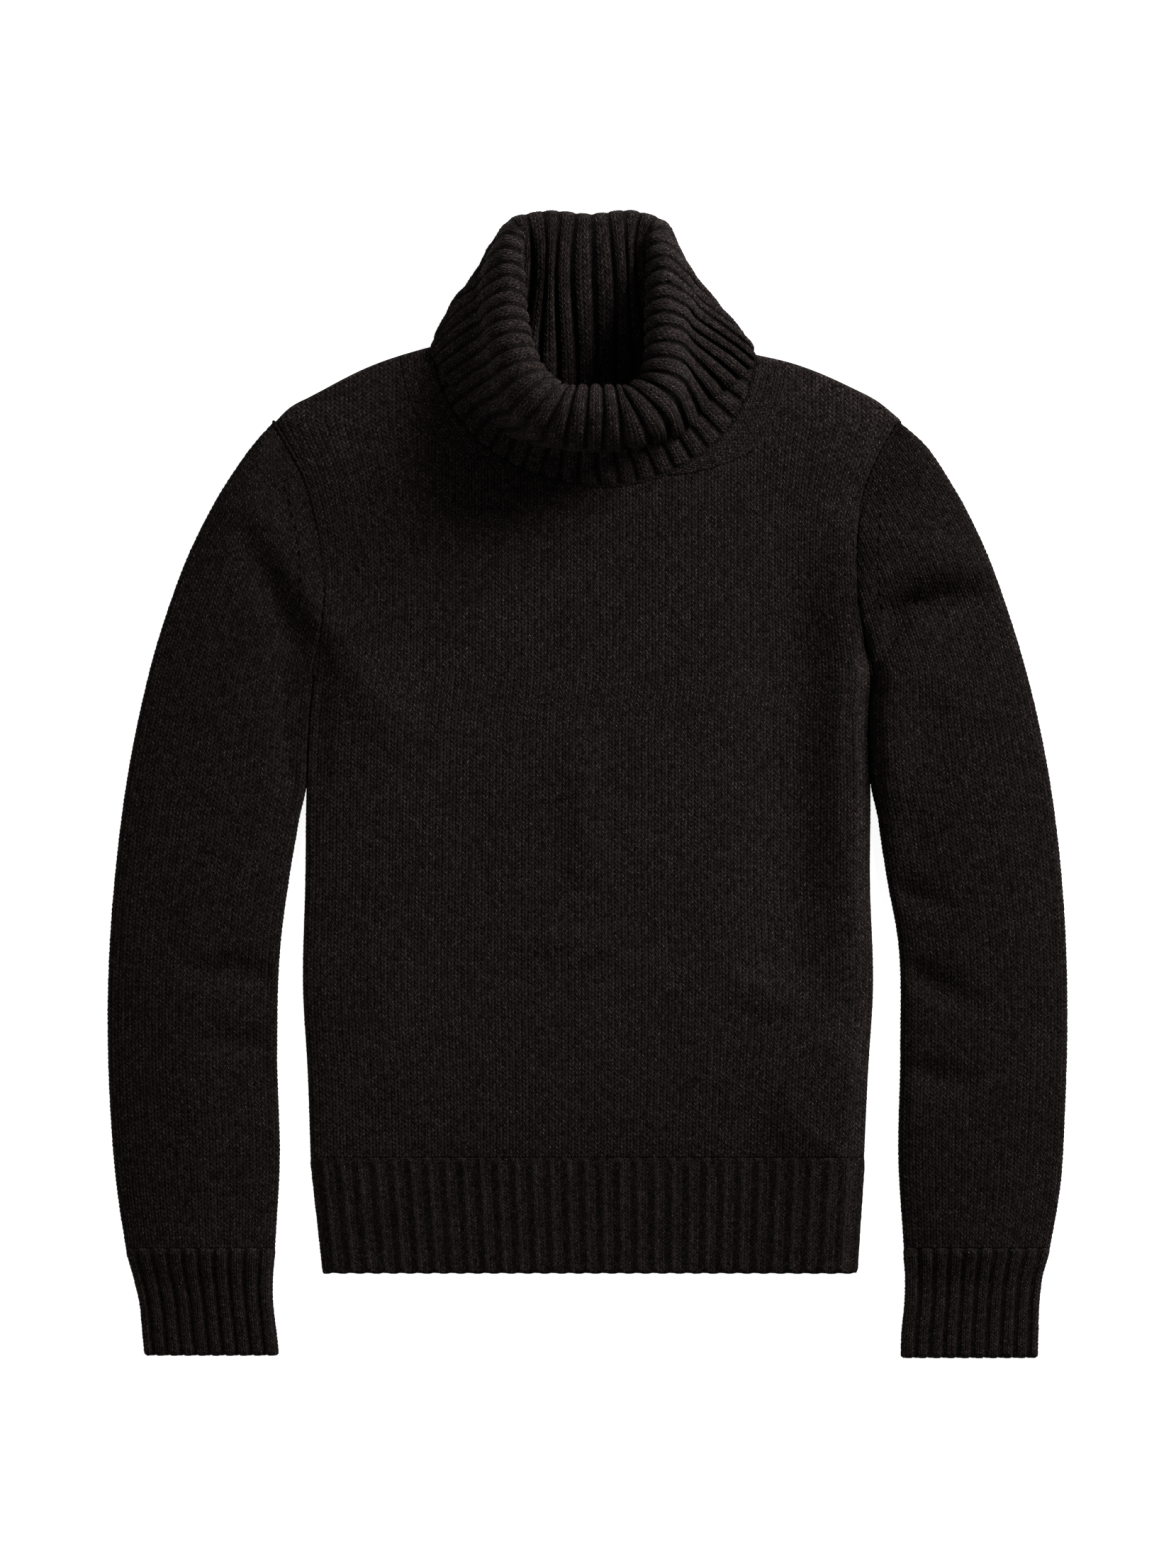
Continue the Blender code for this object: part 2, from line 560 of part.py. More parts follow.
def neck_loop():
    """Seam line of the collar, from the centre back by way of the left side, with the panels' mid heights."""
    middle = (NECK_LEFT[0] + NECK_RIGHT[0]) / 2
    half = (NECK_RIGHT[0] - NECK_LEFT[0]) / 2
    level = (NECK_LEFT[1] + NECK_RIGHT[1]) / 2
    angles = np.linspace(0, math.pi, NECK_SEGMENTS + 1)
    half_way = NECK_SEGMENTS // 2
    loop = [(angle, NECK_DEPTH_BACK) for angle in angles[half_way:0:-1]]
    loop += [(angle, NECK_DEPTH_FRONT) for angle in angles]
    loop += [(angle, NECK_DEPTH_BACK) for angle in angles[:half_way - 1:-1][1:]]
    rim = []
    for angle, depth in loop:
        x = middle - half * math.cos(angle)
        below, on_front = abs(math.sin(angle)) * depth, float(depth == NECK_DEPTH_FRONT)
        rim.append((x, float(neck_y(x, depth)), below, on_front))
    rim = np.array(rim)
    share = np.arange(0, len(rim) - 1 + 0.01, 0.25)
    rim = np.stack([np.interp(share, np.arange(len(rim)), rim[:, k]) for k in range(4)], -1)
    points = []
    for x, y, below, on_front in rim:
        fold = 1 - smooth_step(below / CORNER_RUN)
        raised = FOLD_RISE * (1 - smooth_step(below / (2 * CORNER_RUN)))
        front_z = front_underside(x, y - 1.0) + CLOTH / 2 + raised
        layer = smooth_step(0.5 + (on_front - 0.5) * min(below / FOLD_RUN, 1.0))
        z = CLOTH / 2 + layer * (front_z - CLOTH / 2)
        towards = np.array([middle - x, level - y])
        towards /= np.linalg.norm(towards)
        x, y = np.array([x, y]) + towards * (2 * SEAM_GAP + CORNER_INSET * fold)
        points.append((x, y, z))
    return points


def bezier(a, b, c, d, t):
    t = np.asarray(t)[:, None]
    return (1 - t) ** 3 * a + 3 * (1 - t) ** 2 * t * b + 3 * (1 - t) * t**2 * c + t**3 * d


def collar_guides(shares):
    """Seam, inner bulge, crest, outer bulge and edge points with the roll's two directions."""
    crest = np.stack([COLLAR["crest_x"], COLLAR["crest_y"], COLLAR["crest_z"]], -1)
    steps = np.linalg.norm(np.roll(crest, -1, axis=0) - crest, axis=1)
    marks = np.concatenate([[0.0], np.cumsum(steps)[:-1]]) / steps.sum()
    read = {key: closed_spline(column, marks, shares) for key, column in COLLAR.items()}
    ahead = {key: closed_spline(COLLAR[key], marks, shares + 0.004) for key in ("crest_x", "crest_y")}
    behind = {key: closed_spline(COLLAR[key], marks, shares - 0.004) for key in ("crest_x", "crest_y")}
    round_x = ahead["crest_x"] - behind["crest_x"]
    round_y = ahead["crest_y"] - behind["crest_y"]
    length = np.hypot(round_x, round_y)
    out = np.stack([round_y / length, -round_x / length, 0 * length], -1)
    up = np.array([0.0, 0.0, 1.0])
    lean = np.radians(read["lean"])[:, None]
    top = np.stack([read["crest_x"], read["crest_y"], read["crest_z"]], -1)
    return {
        "seam": along(neck_loop(), shares),
        "inner": top - out * read["inside"][:, None] - up * read["inside_drop"][:, None],
        "top": top,
        "outer": top + out * read["outside"][:, None] - up * read["outside_drop"][:, None],
        "edge": np.stack([read["edge_x"], read["edge_y"], read["edge_z"]], -1),
        "apex": np.cos(lean) * up + np.sin(lean) * out,
        "reach": np.cos(lean) * out - np.sin(lean) * up,
        "lean": read["lean"],
    }


def collar_section(seam, inner, top, outer, edge, apex, reach):
    """Middle line of the collar from the seam over the roll to the free edge."""
    inward = (inner - seam) * np.array([1.0, 1.0, 0.0])
    rise = STAND_LEAVE[1] + STAND_PART * (seam[2] > CLOTH)
    leave = seam + STAND_LEAVE[0] * inward + np.array([0.0, 0.0, rise])
    steep = STAND_DIP * max(inner[2] - leave[2], 1.0) / max(apex[2], 0.01)
    arrive = inner - apex * min(STAND_ARRIVE * abs(np.dot(inner - seam, apex)), steep)
    rise_in = apex * ROLL_HANDLE * abs(np.dot(top - inner, apex))
    over_in = reach * ROLL_HANDLE * abs(np.dot(top - inner, reach))
    over_out = reach * ROLL_HANDLE * abs(np.dot(outer - top, reach))
    fall_out = apex * ROLL_HANDLE * abs(np.dot(top - outer, apex))
    flap = edge - outer
    hang = outer + FLAP_LEAVE * (FLAP_SPREAD * flap - (1 - FLAP_SPREAD) * apex * np.linalg.norm(flap))
    hang[2] = max(hang[2], CLOTH / 2)
    parts = [(seam, leave, arrive, inner),
             (inner, inner + rise_in, top - over_in, top),
             (top, top + over_out, outer + fall_out, outer),
             (outer, hang, edge - FLAP_ARRIVE * flap, edge)]
    return np.concatenate([bezier(*part, steps) for part, steps in zip(parts, SECTION_STEPS)])


def collar_surface(shares):
    """Grid of points on the collar's middle surface: a row along its depth for each share of its round."""
    guides = collar_guides(shares)
    keys = ("seam", "inner", "top", "outer", "edge", "apex", "reach")
    grid = np.stack([collar_section(*(guides[key][i] for key in keys)) for i in range(len(shares))])
    return grid, guides


def surface_normals(grid):
    """Unit normals of a grid that is closed along its first axis."""
    around = np.roll(grid, -1, axis=0) - np.roll(grid, 1, axis=0)
    depth = np.gradient(grid, axis=1)
    normal = np.cross(depth, around)
    return normal / np.linalg.norm(normal, axis=2)[:, :, None]


def rib_weights(guides, depth):
    """How much the ribs rise on the face and on the hidden side, for each column and row."""
    base_end, flap_start = len(SECTION_STEPS[0]), depth - len(SECTION_STEPS[3])
    corners = [np.hypot(*(guides["seam"][:, :2] - corner).T) for corner in (NECK_LEFT, NECK_RIGHT)]
    clear = smooth_step((np.minimum(*corners) - FOLD_CLEAR[0]) / (FOLD_CLEAR[1] - FOLD_CLEAR[0]))
    on_back = clear * (guides["seam"][:, 2] < CLOTH)
    on_flap = 1 - smooth_step((guides["lean"] - RIB_FADE_LEAN[0]) / (RIB_FADE_LEAN[1] - RIB_FADE_LEAN[0]))
    face = np.ones((len(on_back), depth))
    face[:, :base_end] = on_back[:, None]
    face[:, flap_start:] = on_flap[:, None]
    pinch = 1 - CORNER_PINCH[2] * np.exp(-((guides["lean"] - CORNER_PINCH[0]) / CORNER_PINCH[1]) ** 2)
    face[:, base_end - 2:base_end + 2] *= pinch[:, None]
    hidden = np.zeros_like(face)
    hidden[:, :base_end] = (clear * (guides["seam"][:, 2] > CLOTH))[:, None]
    for side in (face, hidden):
        side[:, [0, -1]] = 0.0
    face[:, :base_end] -= (FOLD_THIN * (1 - clear))[:, None]
    return face, hidden


def make_collar():
    steps_round = COLLAR_RIBS * RIB_STEPS
    shares = np.array([(i // RIB_STEPS + rib_share(i)) / COLLAR_RIBS for i in range(steps_round)])
    grid, guides = collar_surface(shares)
    normal = surface_normals(grid)
    depth = grid.shape[1]
    ribs = np.array([rib_profile(i) for i in range(steps_round)])[:, None]
    on_face, on_hidden = rib_weights(guides, depth)
    rise = np.where(on_face < 0, on_face, ribs * on_face)
    face = grid + normal * (CLOTH / 2 + RIB_RISE * rise)[:, :, None]
    hidden = grid - normal * (CLOTH / 2 + RIB_RISE * ribs * on_hidden)[:, :, None]
    loop = np.concatenate([face, hidden[:, ::-1]], axis=1)
    loop[:, :, 2] = np.maximum(loop[:, :, 2], 0.0)
    count = loop.shape[1]
    vertices = [tuple(p) for column in loop for p in column]
    faces = []
    for i in range(steps_round):
        n = (i + 1) % steps_round
        for k in range(count):
            m = (k + 1) % count
            faces.append((i * count + k, n * count + k, n * count + m, i * count + m))
    return make_solid("collar", vertices, faces, RIB_CHARCOAL)


def main():
    for old in list(bpy.data.objects):
        bpy.data.objects.remove(old, do_unlink=True)
    make_back()
    make_hem("hem_back", ribbed=False)
    make_front()
    make_hem("hem_front", ribbed=True)
    for side in ("left", "right"):
        make_sleeve(side)
        make_cuff(side)
    make_collar()


main()
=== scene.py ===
import math

import bmesh
import bpy
import numpy as np
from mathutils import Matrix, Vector
from mathutils.bvhtree import BVHTree


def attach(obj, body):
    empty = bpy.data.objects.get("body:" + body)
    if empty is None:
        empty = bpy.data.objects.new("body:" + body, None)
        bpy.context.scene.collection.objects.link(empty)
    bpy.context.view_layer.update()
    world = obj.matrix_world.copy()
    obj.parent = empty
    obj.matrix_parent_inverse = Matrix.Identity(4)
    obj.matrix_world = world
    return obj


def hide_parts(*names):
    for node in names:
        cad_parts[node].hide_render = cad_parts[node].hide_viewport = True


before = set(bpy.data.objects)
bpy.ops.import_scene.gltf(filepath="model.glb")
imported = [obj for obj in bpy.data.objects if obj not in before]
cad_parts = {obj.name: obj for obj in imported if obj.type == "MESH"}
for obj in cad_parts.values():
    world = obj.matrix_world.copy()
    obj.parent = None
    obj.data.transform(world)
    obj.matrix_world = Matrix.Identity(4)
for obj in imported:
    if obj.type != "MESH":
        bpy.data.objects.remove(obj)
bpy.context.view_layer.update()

mm = 0.001

# Tables and sizes are in millimetres, meshes in metres.
# X runs across the body, Y from hem to collar, Z up from the floor.


# Curves

def smoothCurve(xs, ys, x):
    # value at x of a curve through (xs, ys) with Catmull-Rom slopes
    xs, ys = np.asarray(xs, float), np.asarray(ys, float)
    if xs[0] > xs[-1]:
        xs, ys = xs[::-1], ys[::-1]
    slopes = np.gradient(ys, xs)
    x = np.clip(x, xs[0], xs[-1])
    k = np.clip(np.searchsorted(xs, x, side="right") - 1, 0, len(xs) - 2)
    h = xs[k + 1] - xs[k]
    t = (x - xs[k]) / h
    return ((2 * t**3 - 3 * t**2 + 1) * ys[k] + (t**3 - 2 * t**2 + t) * h * slopes[k]
            + (3 * t**2 - 2 * t**3) * ys[k + 1] + (t**3 - t**2) * h * slopes[k + 1])


def smoothStep(t):
    t = np.clip(t, 0.0, 1.0)
    return t * t * (3 - 2 * t)


def roundedEdge(distance, radius):
    # share of the wall left at a distance from a rounded edge
    d = np.clip(np.asarray(distance, float) / radius, 0, 1)
    return np.sqrt(np.clip(1 - (1 - d) ** 2, 0, 1))


def alongLine(points, shares):
    points = np.asarray(points, float)
    run = np.concatenate([[0.0], np.cumsum(np.linalg.norm(np.diff(points, axis=0), axis=1))])
    at = np.asarray(shares) * run[-1]
    return np.stack([np.interp(at, run, points[:, k]) for k in range(points.shape[1])], -1)


# Knitted cloth as columns of points: a wale is a groove, a leg, a shallow groove and a leg

knit = {
    "cloth": 3.0,            # wall thickness
    "seamGap": 0.3,
    "wale": 4.4,             # width of one plain stitch
    "course": 2.9,           # height of one plain stitch
    "ribCourse": 2.45,
    "vLean": 0.43,           # how far a stitch's legs rise from its middle to its sides, in courses
    "edgeClear": 0.3,        # points nearer than this to a column's end are left out, in courses
    "coarseStep": 6,         # courses between two points of the plain inner wall
    "coarseWales": 2,        # and wales between two of its columns
}

noRib = -1.0  # stands for the place in a rib where there is none

plainColumns = ((0.0, "groove"), (0.27, "leg"), (0.5, "heart"), (0.73, "leg"))

# columns of a two by two rib: place in the knitted or the purled part, count of wales and kind of column
ribKnitColumns = (
    (0.000, 0.00, "groove"), (0.125, 0.27, "leg"), (0.250, 0.50, "heart"), (0.375, 0.73, "leg"),
    (0.500, 1.00, "groove"), (0.625, 1.27, "leg"), (0.750, 1.50, "heart"), (0.875, 1.73, "leg"),
)
ribPurlColumns = (
    (0.00, 2.00, "groove"), (0.25, 2.60, "purl"), (0.50, 3.00, "purlHalf"), (0.75, 3.40, "purl"),
)

# share of a rib's width that is knitted, and half the width of its rounded back
bandRib = {"knitted": 0.64, "half": 0.37, "roundness": 4.0}
collarRib = {"knitted": 0.74, "half": 0.46, "roundness": 3.0}


def courseMarks(kind, first, last):
    # heights of a column's points, in courses, always with both ends
    starts = {"groove": (knit["vLean"],), "heart": (1 - knit["vLean"],), "leg": (0.0, 0.5),
              "purl": (0.0,), "purlHalf": (0.5,), "coarse": (0.0,)}[kind]
    step = knit["coarseStep"] if kind == "coarse" else 1
    low = math.floor(first)
    marks = [low + k + s for k in range(0, int(last - low) + 2, step) for s in starts]
    clear = knit["edgeClear"]
    inner = [m for m in sorted(marks) if first + clear < m < last - clear]
    return np.array([first] + inner + [last])


def plainRows(wales):
    # place and kind of the columns across a number of plain wales, both edges included
    return [(k + place, kind) for k in range(wales) for place, kind in plainColumns] + [(wales, "groove")]


def newCloth():
    return {"points": [], "wale": [], "course": [], "rib": [], "fade": [], "faces": [], "uv": []}


def addColumn(cloth, points, wale, courses, rib=noRib, fade=1.0):
    first = len(cloth["wale"])
    count = len(points)
    cloth["points"].append(np.asarray(points, float))
    cloth["wale"] += [wale] * count
    cloth["course"] += list(courses)
    cloth["rib"] += [rib] * count
    cloth["fade"] += list(np.broadcast_to(fade, count))
    return {"ids": list(range(first, first + count)), "wale": wale, "course": list(courses)}


def addFace(cloth, corners):
    cloth["faces"].append([column["ids"][k] for column, k in corners])
    cloth["uv"] += [(column["wale"], column["course"][k]) for column, k in corners]


def zipColumns(cloth, a, b):
    # triangles between two neighbouring columns
    i, j = 0, 0
    lastA, lastB = len(a["ids"]) - 1, len(b["ids"]) - 1
    while i < lastA or j < lastB:
        if j == lastB or (i < lastA and a["course"][i + 1] <= b["course"][j + 1]):
            addFace(cloth, ((a, i), (b, j), (a, i + 1)))
            i += 1
        else:
            addFace(cloth, ((a, i), (b, j), (b, j + 1)))
            j += 1


def zipSheet(cloth, columns):
    for a, b in zip(columns, columns[1:]):
        zipColumns(cloth, a, b)


def zipRings(cloth, outer, inner):
    # closes the wall between two rings of (column, index, mark), both running the same way round
    i, j = 0, 0
    farOn = 1e6  # mark of the point that closes a ring
    outer = outer + [(outer[0][0], outer[0][1], outer[-1][2] + farOn)]
    inner = inner + [(inner[0][0], inner[0][1], inner[-1][2] + farOn)]
    while i < len(outer) - 1 or j < len(inner) - 1:
        a, b = outer[i], inner[j]
        if j == len(inner) - 1 or (i < len(outer) - 1 and outer[i + 1][2] <= inner[j + 1][2]):
            addFace(cloth, (a[:2], b[:2], outer[i + 1][:2]))
            i += 1
        else:
            addFace(cloth, (a[:2], b[:2], inner[j + 1][:2]))
            j += 1


def sheetBorder(columns):
    # ring round a sheet of columns: the bottom, the last column, the top and the first column
    count = len(columns)
    ring = [(c, 0, k / (count - 1)) for k, c in enumerate(columns)]
    for column, base, turn in ((columns[-1], 1, 1), (None, 2, 0), (columns[0], 3, -1)):
        if column is None:
            ring += [(c, len(c["ids"]) - 1, base + k / (count - 1)) for k, c in enumerate(columns[::-1])]
            continue
        marks = np.array(column["course"])
        share = (marks - marks[0]) / (marks[-1] - marks[0])
        order = range(1, len(marks) - 1) if turn > 0 else range(len(marks) - 2, 0, -1)
        ring += [(column, k, base + (share[k] if turn > 0 else 1 - share[k])) for k in order]
    return ring


def closeSheet(cloth, face, inside):
    # joins the columns of both sides, and the wall between them all round
    zipSheet(cloth, face)
    zipSheet(cloth, inside)
    zipRings(cloth, sheetBorder(face), sheetBorder(inside))


def endRing(columns, marks, at):
    # ring along one end of a tube; the last column repeats the first and is left out
    return [(c, at if at == 0 else len(c["ids"]) - 1, m) for c, m in zip(columns, marks)]


def clothObject(name, cloth):
    mesh = bpy.data.meshes.new(name)
    points = np.concatenate(cloth["points"]) * mm
    mesh.from_pydata(points.tolist(), [], cloth["faces"])
    layer = mesh.uv_layers.new(name="knit")
    layer.data.foreach_set("uv", np.array(cloth["uv"], np.float32).ravel())
    for key in ("wale", "course", "rib", "fade"):
        values = mesh.attributes.new(key, "FLOAT", "POINT")
        values.data.foreach_set("value", np.array(cloth[key], np.float32))
    outwards = bmesh.new()
    outwards.from_mesh(mesh)
    bmesh.ops.recalc_face_normals(outwards, faces=outwards.faces)
    outwards.to_mesh(mesh)
    outwards.free()
    piece = bpy.data.objects.new(name, mesh)
    bpy.context.scene.collection.objects.link(piece)
    return piece


# Node helpers, used by the relief and chain trees and the yarn materials

def addNode(tree, kind, links=None, **settings):
    node = tree.nodes.new(kind)
    for key, value in settings.items():
        setattr(node, key, value)
    for key, value in (links or {}).items():
        socket = node.inputs[key]
        if isinstance(value, bpy.types.NodeSocket):
            tree.links.new(value, socket)
        else:
            socket.default_value = value
    return node


def maths(tree, operation, *values):
    return addNode(tree, "ShaderNodeMath", dict(enumerate(values)), operation=operation).outputs[0]


def vectorMaths(tree, operation, *values):
    return addNode(tree, "ShaderNodeVectorMath", dict(enumerate(values)), operation=operation).outputs[0]


def scaled(tree, vector, factor):
    node = addNode(tree, "ShaderNodeVectorMath", {0: vector, "Scale": factor}, operation="SCALE")
    return node.outputs[0]


def heartShape(tree, wale):
    # 1 in the middle of a stitch and 0 in the groove between two wales
    turn = maths(tree, "MULTIPLY", wale, math.tau)
    return maths(tree, "MULTIPLY_ADD", maths(tree, "COSINE", turn), -0.5, 0.5)


def legShape(tree, wale, course, lean):
    # 1 on the crest of a stitch's leg and 0 in the grooves, from the counts of wales and courses
    turn = maths(tree, "MULTIPLY", wale, math.tau)
    across = maths(tree, "ABSOLUTE", maths(tree, "SINE", turn))
    shift = maths(tree, "MULTIPLY", maths(tree, "COSINE", turn), lean)
    rising = maths(tree, "MULTIPLY", maths(tree, "SUBTRACT", course, shift), math.tau)
    along = maths(tree, "MULTIPLY_ADD", maths(tree, "COSINE", rising), -0.5, 0.5)
    return across, along


def ribShape(tree, rib, centre, halfWidth, roundness):
    # 1 on the flat of a rib and 0 in the gutter beside it
    away = maths(tree, "ABSOLUTE", maths(tree, "SUBTRACT", rib, centre))
    away = maths(tree, "MINIMUM", away, maths(tree, "SUBTRACT", 1.0, away))
    steep = maths(tree, "POWER", maths(tree, "DIVIDE", away, halfWidth), roundness)
    return addNode(tree, "ShaderNodeClamp", {0: maths(tree, "SUBTRACT", 1.0, steep)}).outputs[0]


reliefSizes = {
    "Stitch height": 0.9 * mm,
    "Dip share": 0.65,           # height of a leg where it passes under the next, as a share of its crest
    "Heart share": 0.25,         # height of the shallow groove inside a stitch
    "Groove share": 0.12,        # height of the groove between two wales
    "Sink share": 0.6,           # the stitches start this far below the wall, as a share of their height
    "Rib centre": bandRib["knitted"] / 2,
    "Rib half width": bandRib["half"],
    "Rib roundness": bandRib["roundness"],
    "Rib height": 1.0 * mm,
    "Gutter depth": 0.9 * mm,
    "Purl height": 0.3 * mm,
    "Unevenness": 0.22 * mm,
    "Unevenness scale": 420.0,   # per metre
    "Seed": 3.0,
    "Floor": 0.0,
}


def newTree(name, sizes):
    # a geometry tree with an input for each size and one for the yarn
    tree = bpy.data.node_groups.new(name, "GeometryNodeTree")
    sockets = tree.interface
    sockets.new_socket("Geometry", in_out="INPUT", socket_type="NodeSocketGeometry")
    for label, value in sizes.items():
        sockets.new_socket(label, in_out="INPUT", socket_type="NodeSocketFloat").default_value = value
    sockets.new_socket("Yarn", in_out="INPUT", socket_type="NodeSocketMaterial")
    sockets.new_socket("Geometry", in_out="OUTPUT", socket_type="NodeSocketGeometry")
    return tree, addNode(tree, "NodeGroupInput").outputs


def finishTree(tree, geometry, yarn):
    # smooth, real and dyed
    smooth = addNode(tree, "GeometryNodeSetShadeSmooth", {"Geometry": geometry})
    real = addNode(tree, "GeometryNodeRealizeInstances", {"Geometry": smooth.outputs[0]})
    dyed = addNode(tree, "GeometryNodeSetMaterial", {"Geometry": real.outputs[0], "Material": yarn})
    addNode(tree, "NodeGroupOutput", {"Geometry": dyed.outputs[0]})


def knitReliefTree():
    tree, given = newTree("knitRelief", reliefSizes)

    def read(label):
        named = addNode(tree, "GeometryNodeInputNamedAttribute", {"Name": label}, data_type="FLOAT")
        return named.outputs[0]

    wale, course, rib, fade = read("wale"), read("course"), read("rib"), read("fade")
    across, along = legShape(tree, wale, course, knit["vLean"])
    dip = given["Dip share"]
    crest = maths(tree, "MULTIPLY_ADD", along, maths(tree, "SUBTRACT", 1.0, dip), dip)
    leg = maths(tree, "MULTIPLY", across, crest)
    heart = maths(tree, "MULTIPLY", heartShape(tree, wale), given["Heart share"])
    stitch = maths(tree, "MAXIMUM", maths(tree, "MAXIMUM", leg, heart), given["Groove share"])
    stitch = maths(tree, "SUBTRACT", stitch, given["Sink share"])
    stitch = maths(tree, "MULTIPLY", stitch, given["Stitch height"])

    isRib = maths(tree, "GREATER_THAN", rib, noRib / 2)
    flat = ribShape(tree, rib, given["Rib centre"], given["Rib half width"], given["Rib roundness"])
    gutter = maths(tree, "SUBTRACT", 1.0, flat)
    ridge = maths(tree, "MULTIPLY", flat, given["Rib height"])
    ridge = maths(tree, "SUBTRACT", ridge, maths(tree, "MULTIPLY", gutter, given["Gutter depth"]))
    phase = maths(tree, "MULTIPLY", maths(tree, "MULTIPLY_ADD", wale, 0.5, course), math.tau)
    purl = maths(tree, "MULTIPLY", maths(tree, "SINE", phase), given["Purl height"])
    ridge = maths(tree, "MULTIPLY_ADD", gutter, purl, ridge)
    height = maths(tree, "MULTIPLY_ADD", ridge, isRib, stitch)

    place = addNode(tree, "GeometryNodeInputPosition").outputs[0]
    normal = addNode(tree, "GeometryNodeInputNormal").outputs[0]
    noise = addNode(tree, "ShaderNodeTexNoise", {
        "Vector": place, "W": given["Seed"], "Scale": given["Unevenness scale"], "Detail": 1.0},
        noise_dimensions="4D")
    wobble = vectorMaths(tree, "SUBTRACT", noise.outputs["Color"], (0.5, 0.5, 0.5))
    noiseReach = 0.25  # a noise seldom leaves its middle by more
    wobble = scaled(tree, wobble, maths(tree, "MULTIPLY", given["Unevenness"], 1 / noiseReach))
    offset = vectorMaths(tree, "ADD", scaled(tree, normal, height), wobble)
    offset = scaled(tree, offset, fade)
    moved = vectorMaths(tree, "ADD", place, offset)
    parts = addNode(tree, "ShaderNodeSeparateXYZ", {0: moved}).outputs
    aboveFloor = maths(tree, "MAXIMUM", parts[2], given["Floor"])
    landed = addNode(tree, "ShaderNodeCombineXYZ", {0: parts[0], 1: parts[1], 2: aboveFloor}).outputs[0]
    shaped = addNode(tree, "GeometryNodeSetPosition", {"Geometry": given["Geometry"], "Position": landed})
    # the gutter mask is kept for the yarn's painted shade in the purled gutters
    noted = addNode(tree, "GeometryNodeStoreNamedAttribute", {
        "Geometry": shaped.outputs[0], "Name": "gutter", "Value": maths(tree, "MULTIPLY", gutter, isRib)},
        data_type="FLOAT", domain="POINT")
    finishTree(tree, noted.outputs[0], given["Yarn"])
    return tree


def raiseStitches(piece, tree, yarn, **sizes):
    # runs the relief tree on a piece and keeps its result as a plain mesh
    modifier = piece.modifiers.new("stitches", "NODES")
    modifier.node_group = tree
    for item in tree.interface.items_tree:
        if item.in_out == "INPUT" and item.name in sizes:
            modifier[item.identifier] = sizes[item.name]
        if item.in_out == "INPUT" and item.name == "Yarn":
            modifier[item.identifier] = yarn
    deps = bpy.context.evaluated_depsgraph_get()
    made = bpy.data.meshes.new_from_object(piece.evaluated_get(deps), preserve_all_data_layers=True,
                                           depsgraph=deps)
    piece.modifiers.remove(modifier)
    old = piece.data
    piece.data = made
    made.name = piece.name
    bpy.data.meshes.remove(old)
    print("knitted", piece.name, len(piece.data.loop_triangles) or len(piece.data.polygons), "faces")
    return piece


# Yarn

yarnLook = {
    "dark": (0.0083, 0.0060, 0.0056, 1.0),
    "light": (0.032, 0.0240, 0.0225, 1.0),
    "paleFibreAndGlint": (0.150, 0.130, 0.122, 1.0),
    "paleFibreAndGlintFrom": (0.60, 0.70),   # noise levels between which a fleck comes up on a leg's crest: partly a pale fibre, partly a painted glint
    # painted shade: the grooves between and under the stitches' legs are painted darker, down to this share
    "paintedGrooveShade": 0.20,
    "paintedGutterShade": 0.50,         # painted shade in the purled gutters: how much darker they are painted than the ribs
    "heartFill": 0.15,           # the middle of a stitch is this light against its legs in the painted groove shade
    "legFullness": 0.6,          # below 1 a leg is pale almost up to the groove beside it in the painted groove shade
    "legFloor": 0.2,             # how much of a leg's shape is left in the groove beside it
    "dipFloor": 0.35,            # and where it passes under the next leg
    "tone": 0.90,
    "heatherNoise": (520.0, 3.0),  # scale per metre, and detail
    "heatherFrom": (0.32, 0.68),
    "paleFibreAndGlintNoise": (1500.0, 1.0),
    "fibreNoise": (1500.0, 4.0),
    "cloudNoise": (22.0, 2.0),
    "cloudFrom": (0.3, 0.7),
    "cloudStrength": 0.14,
    "legTone": (0.68, 1.44),     # each leg of a stitch is a little darker or paler than the next
    "roughness": 0.9,
    "specular": 0.03,
    "sheen": 0.012,
    "sheenRoughness": 0.45,
    "sheenTint": (0.75, 0.68, 0.66, 1.0),
    "legBump": 0.45 * mm,
    "fibreBump": 0.16 * mm,
}


def mixColours(tree, factor, a, b, blend="MIX"):
    # the colour sockets of a Mix node are its inputs 6 and 7
    return addNode(tree, "ShaderNodeMix", {0: factor, 6: a, 7: b}, data_type="RGBA",
                   blend_type=blend).outputs[2]


def noiseAt(tree, place, scale, detail):
    noise = addNode(tree, "ShaderNodeTexNoise", {"Vector": place, "Scale": scale, "Detail": detail})
    return noise.outputs[0]


def ranged(tree, value, ends):
    node = addNode(tree, "ShaderNodeMapRange", {"Value": value, "From Min": ends[0], "From Max": ends[1]})
    return node.outputs[0]


def shaded(tree, value, floor):
    # value from 0 to 1 squeezed to between floor and 1
    return maths(tree, "MULTIPLY_ADD", value, 1 - floor, floor)


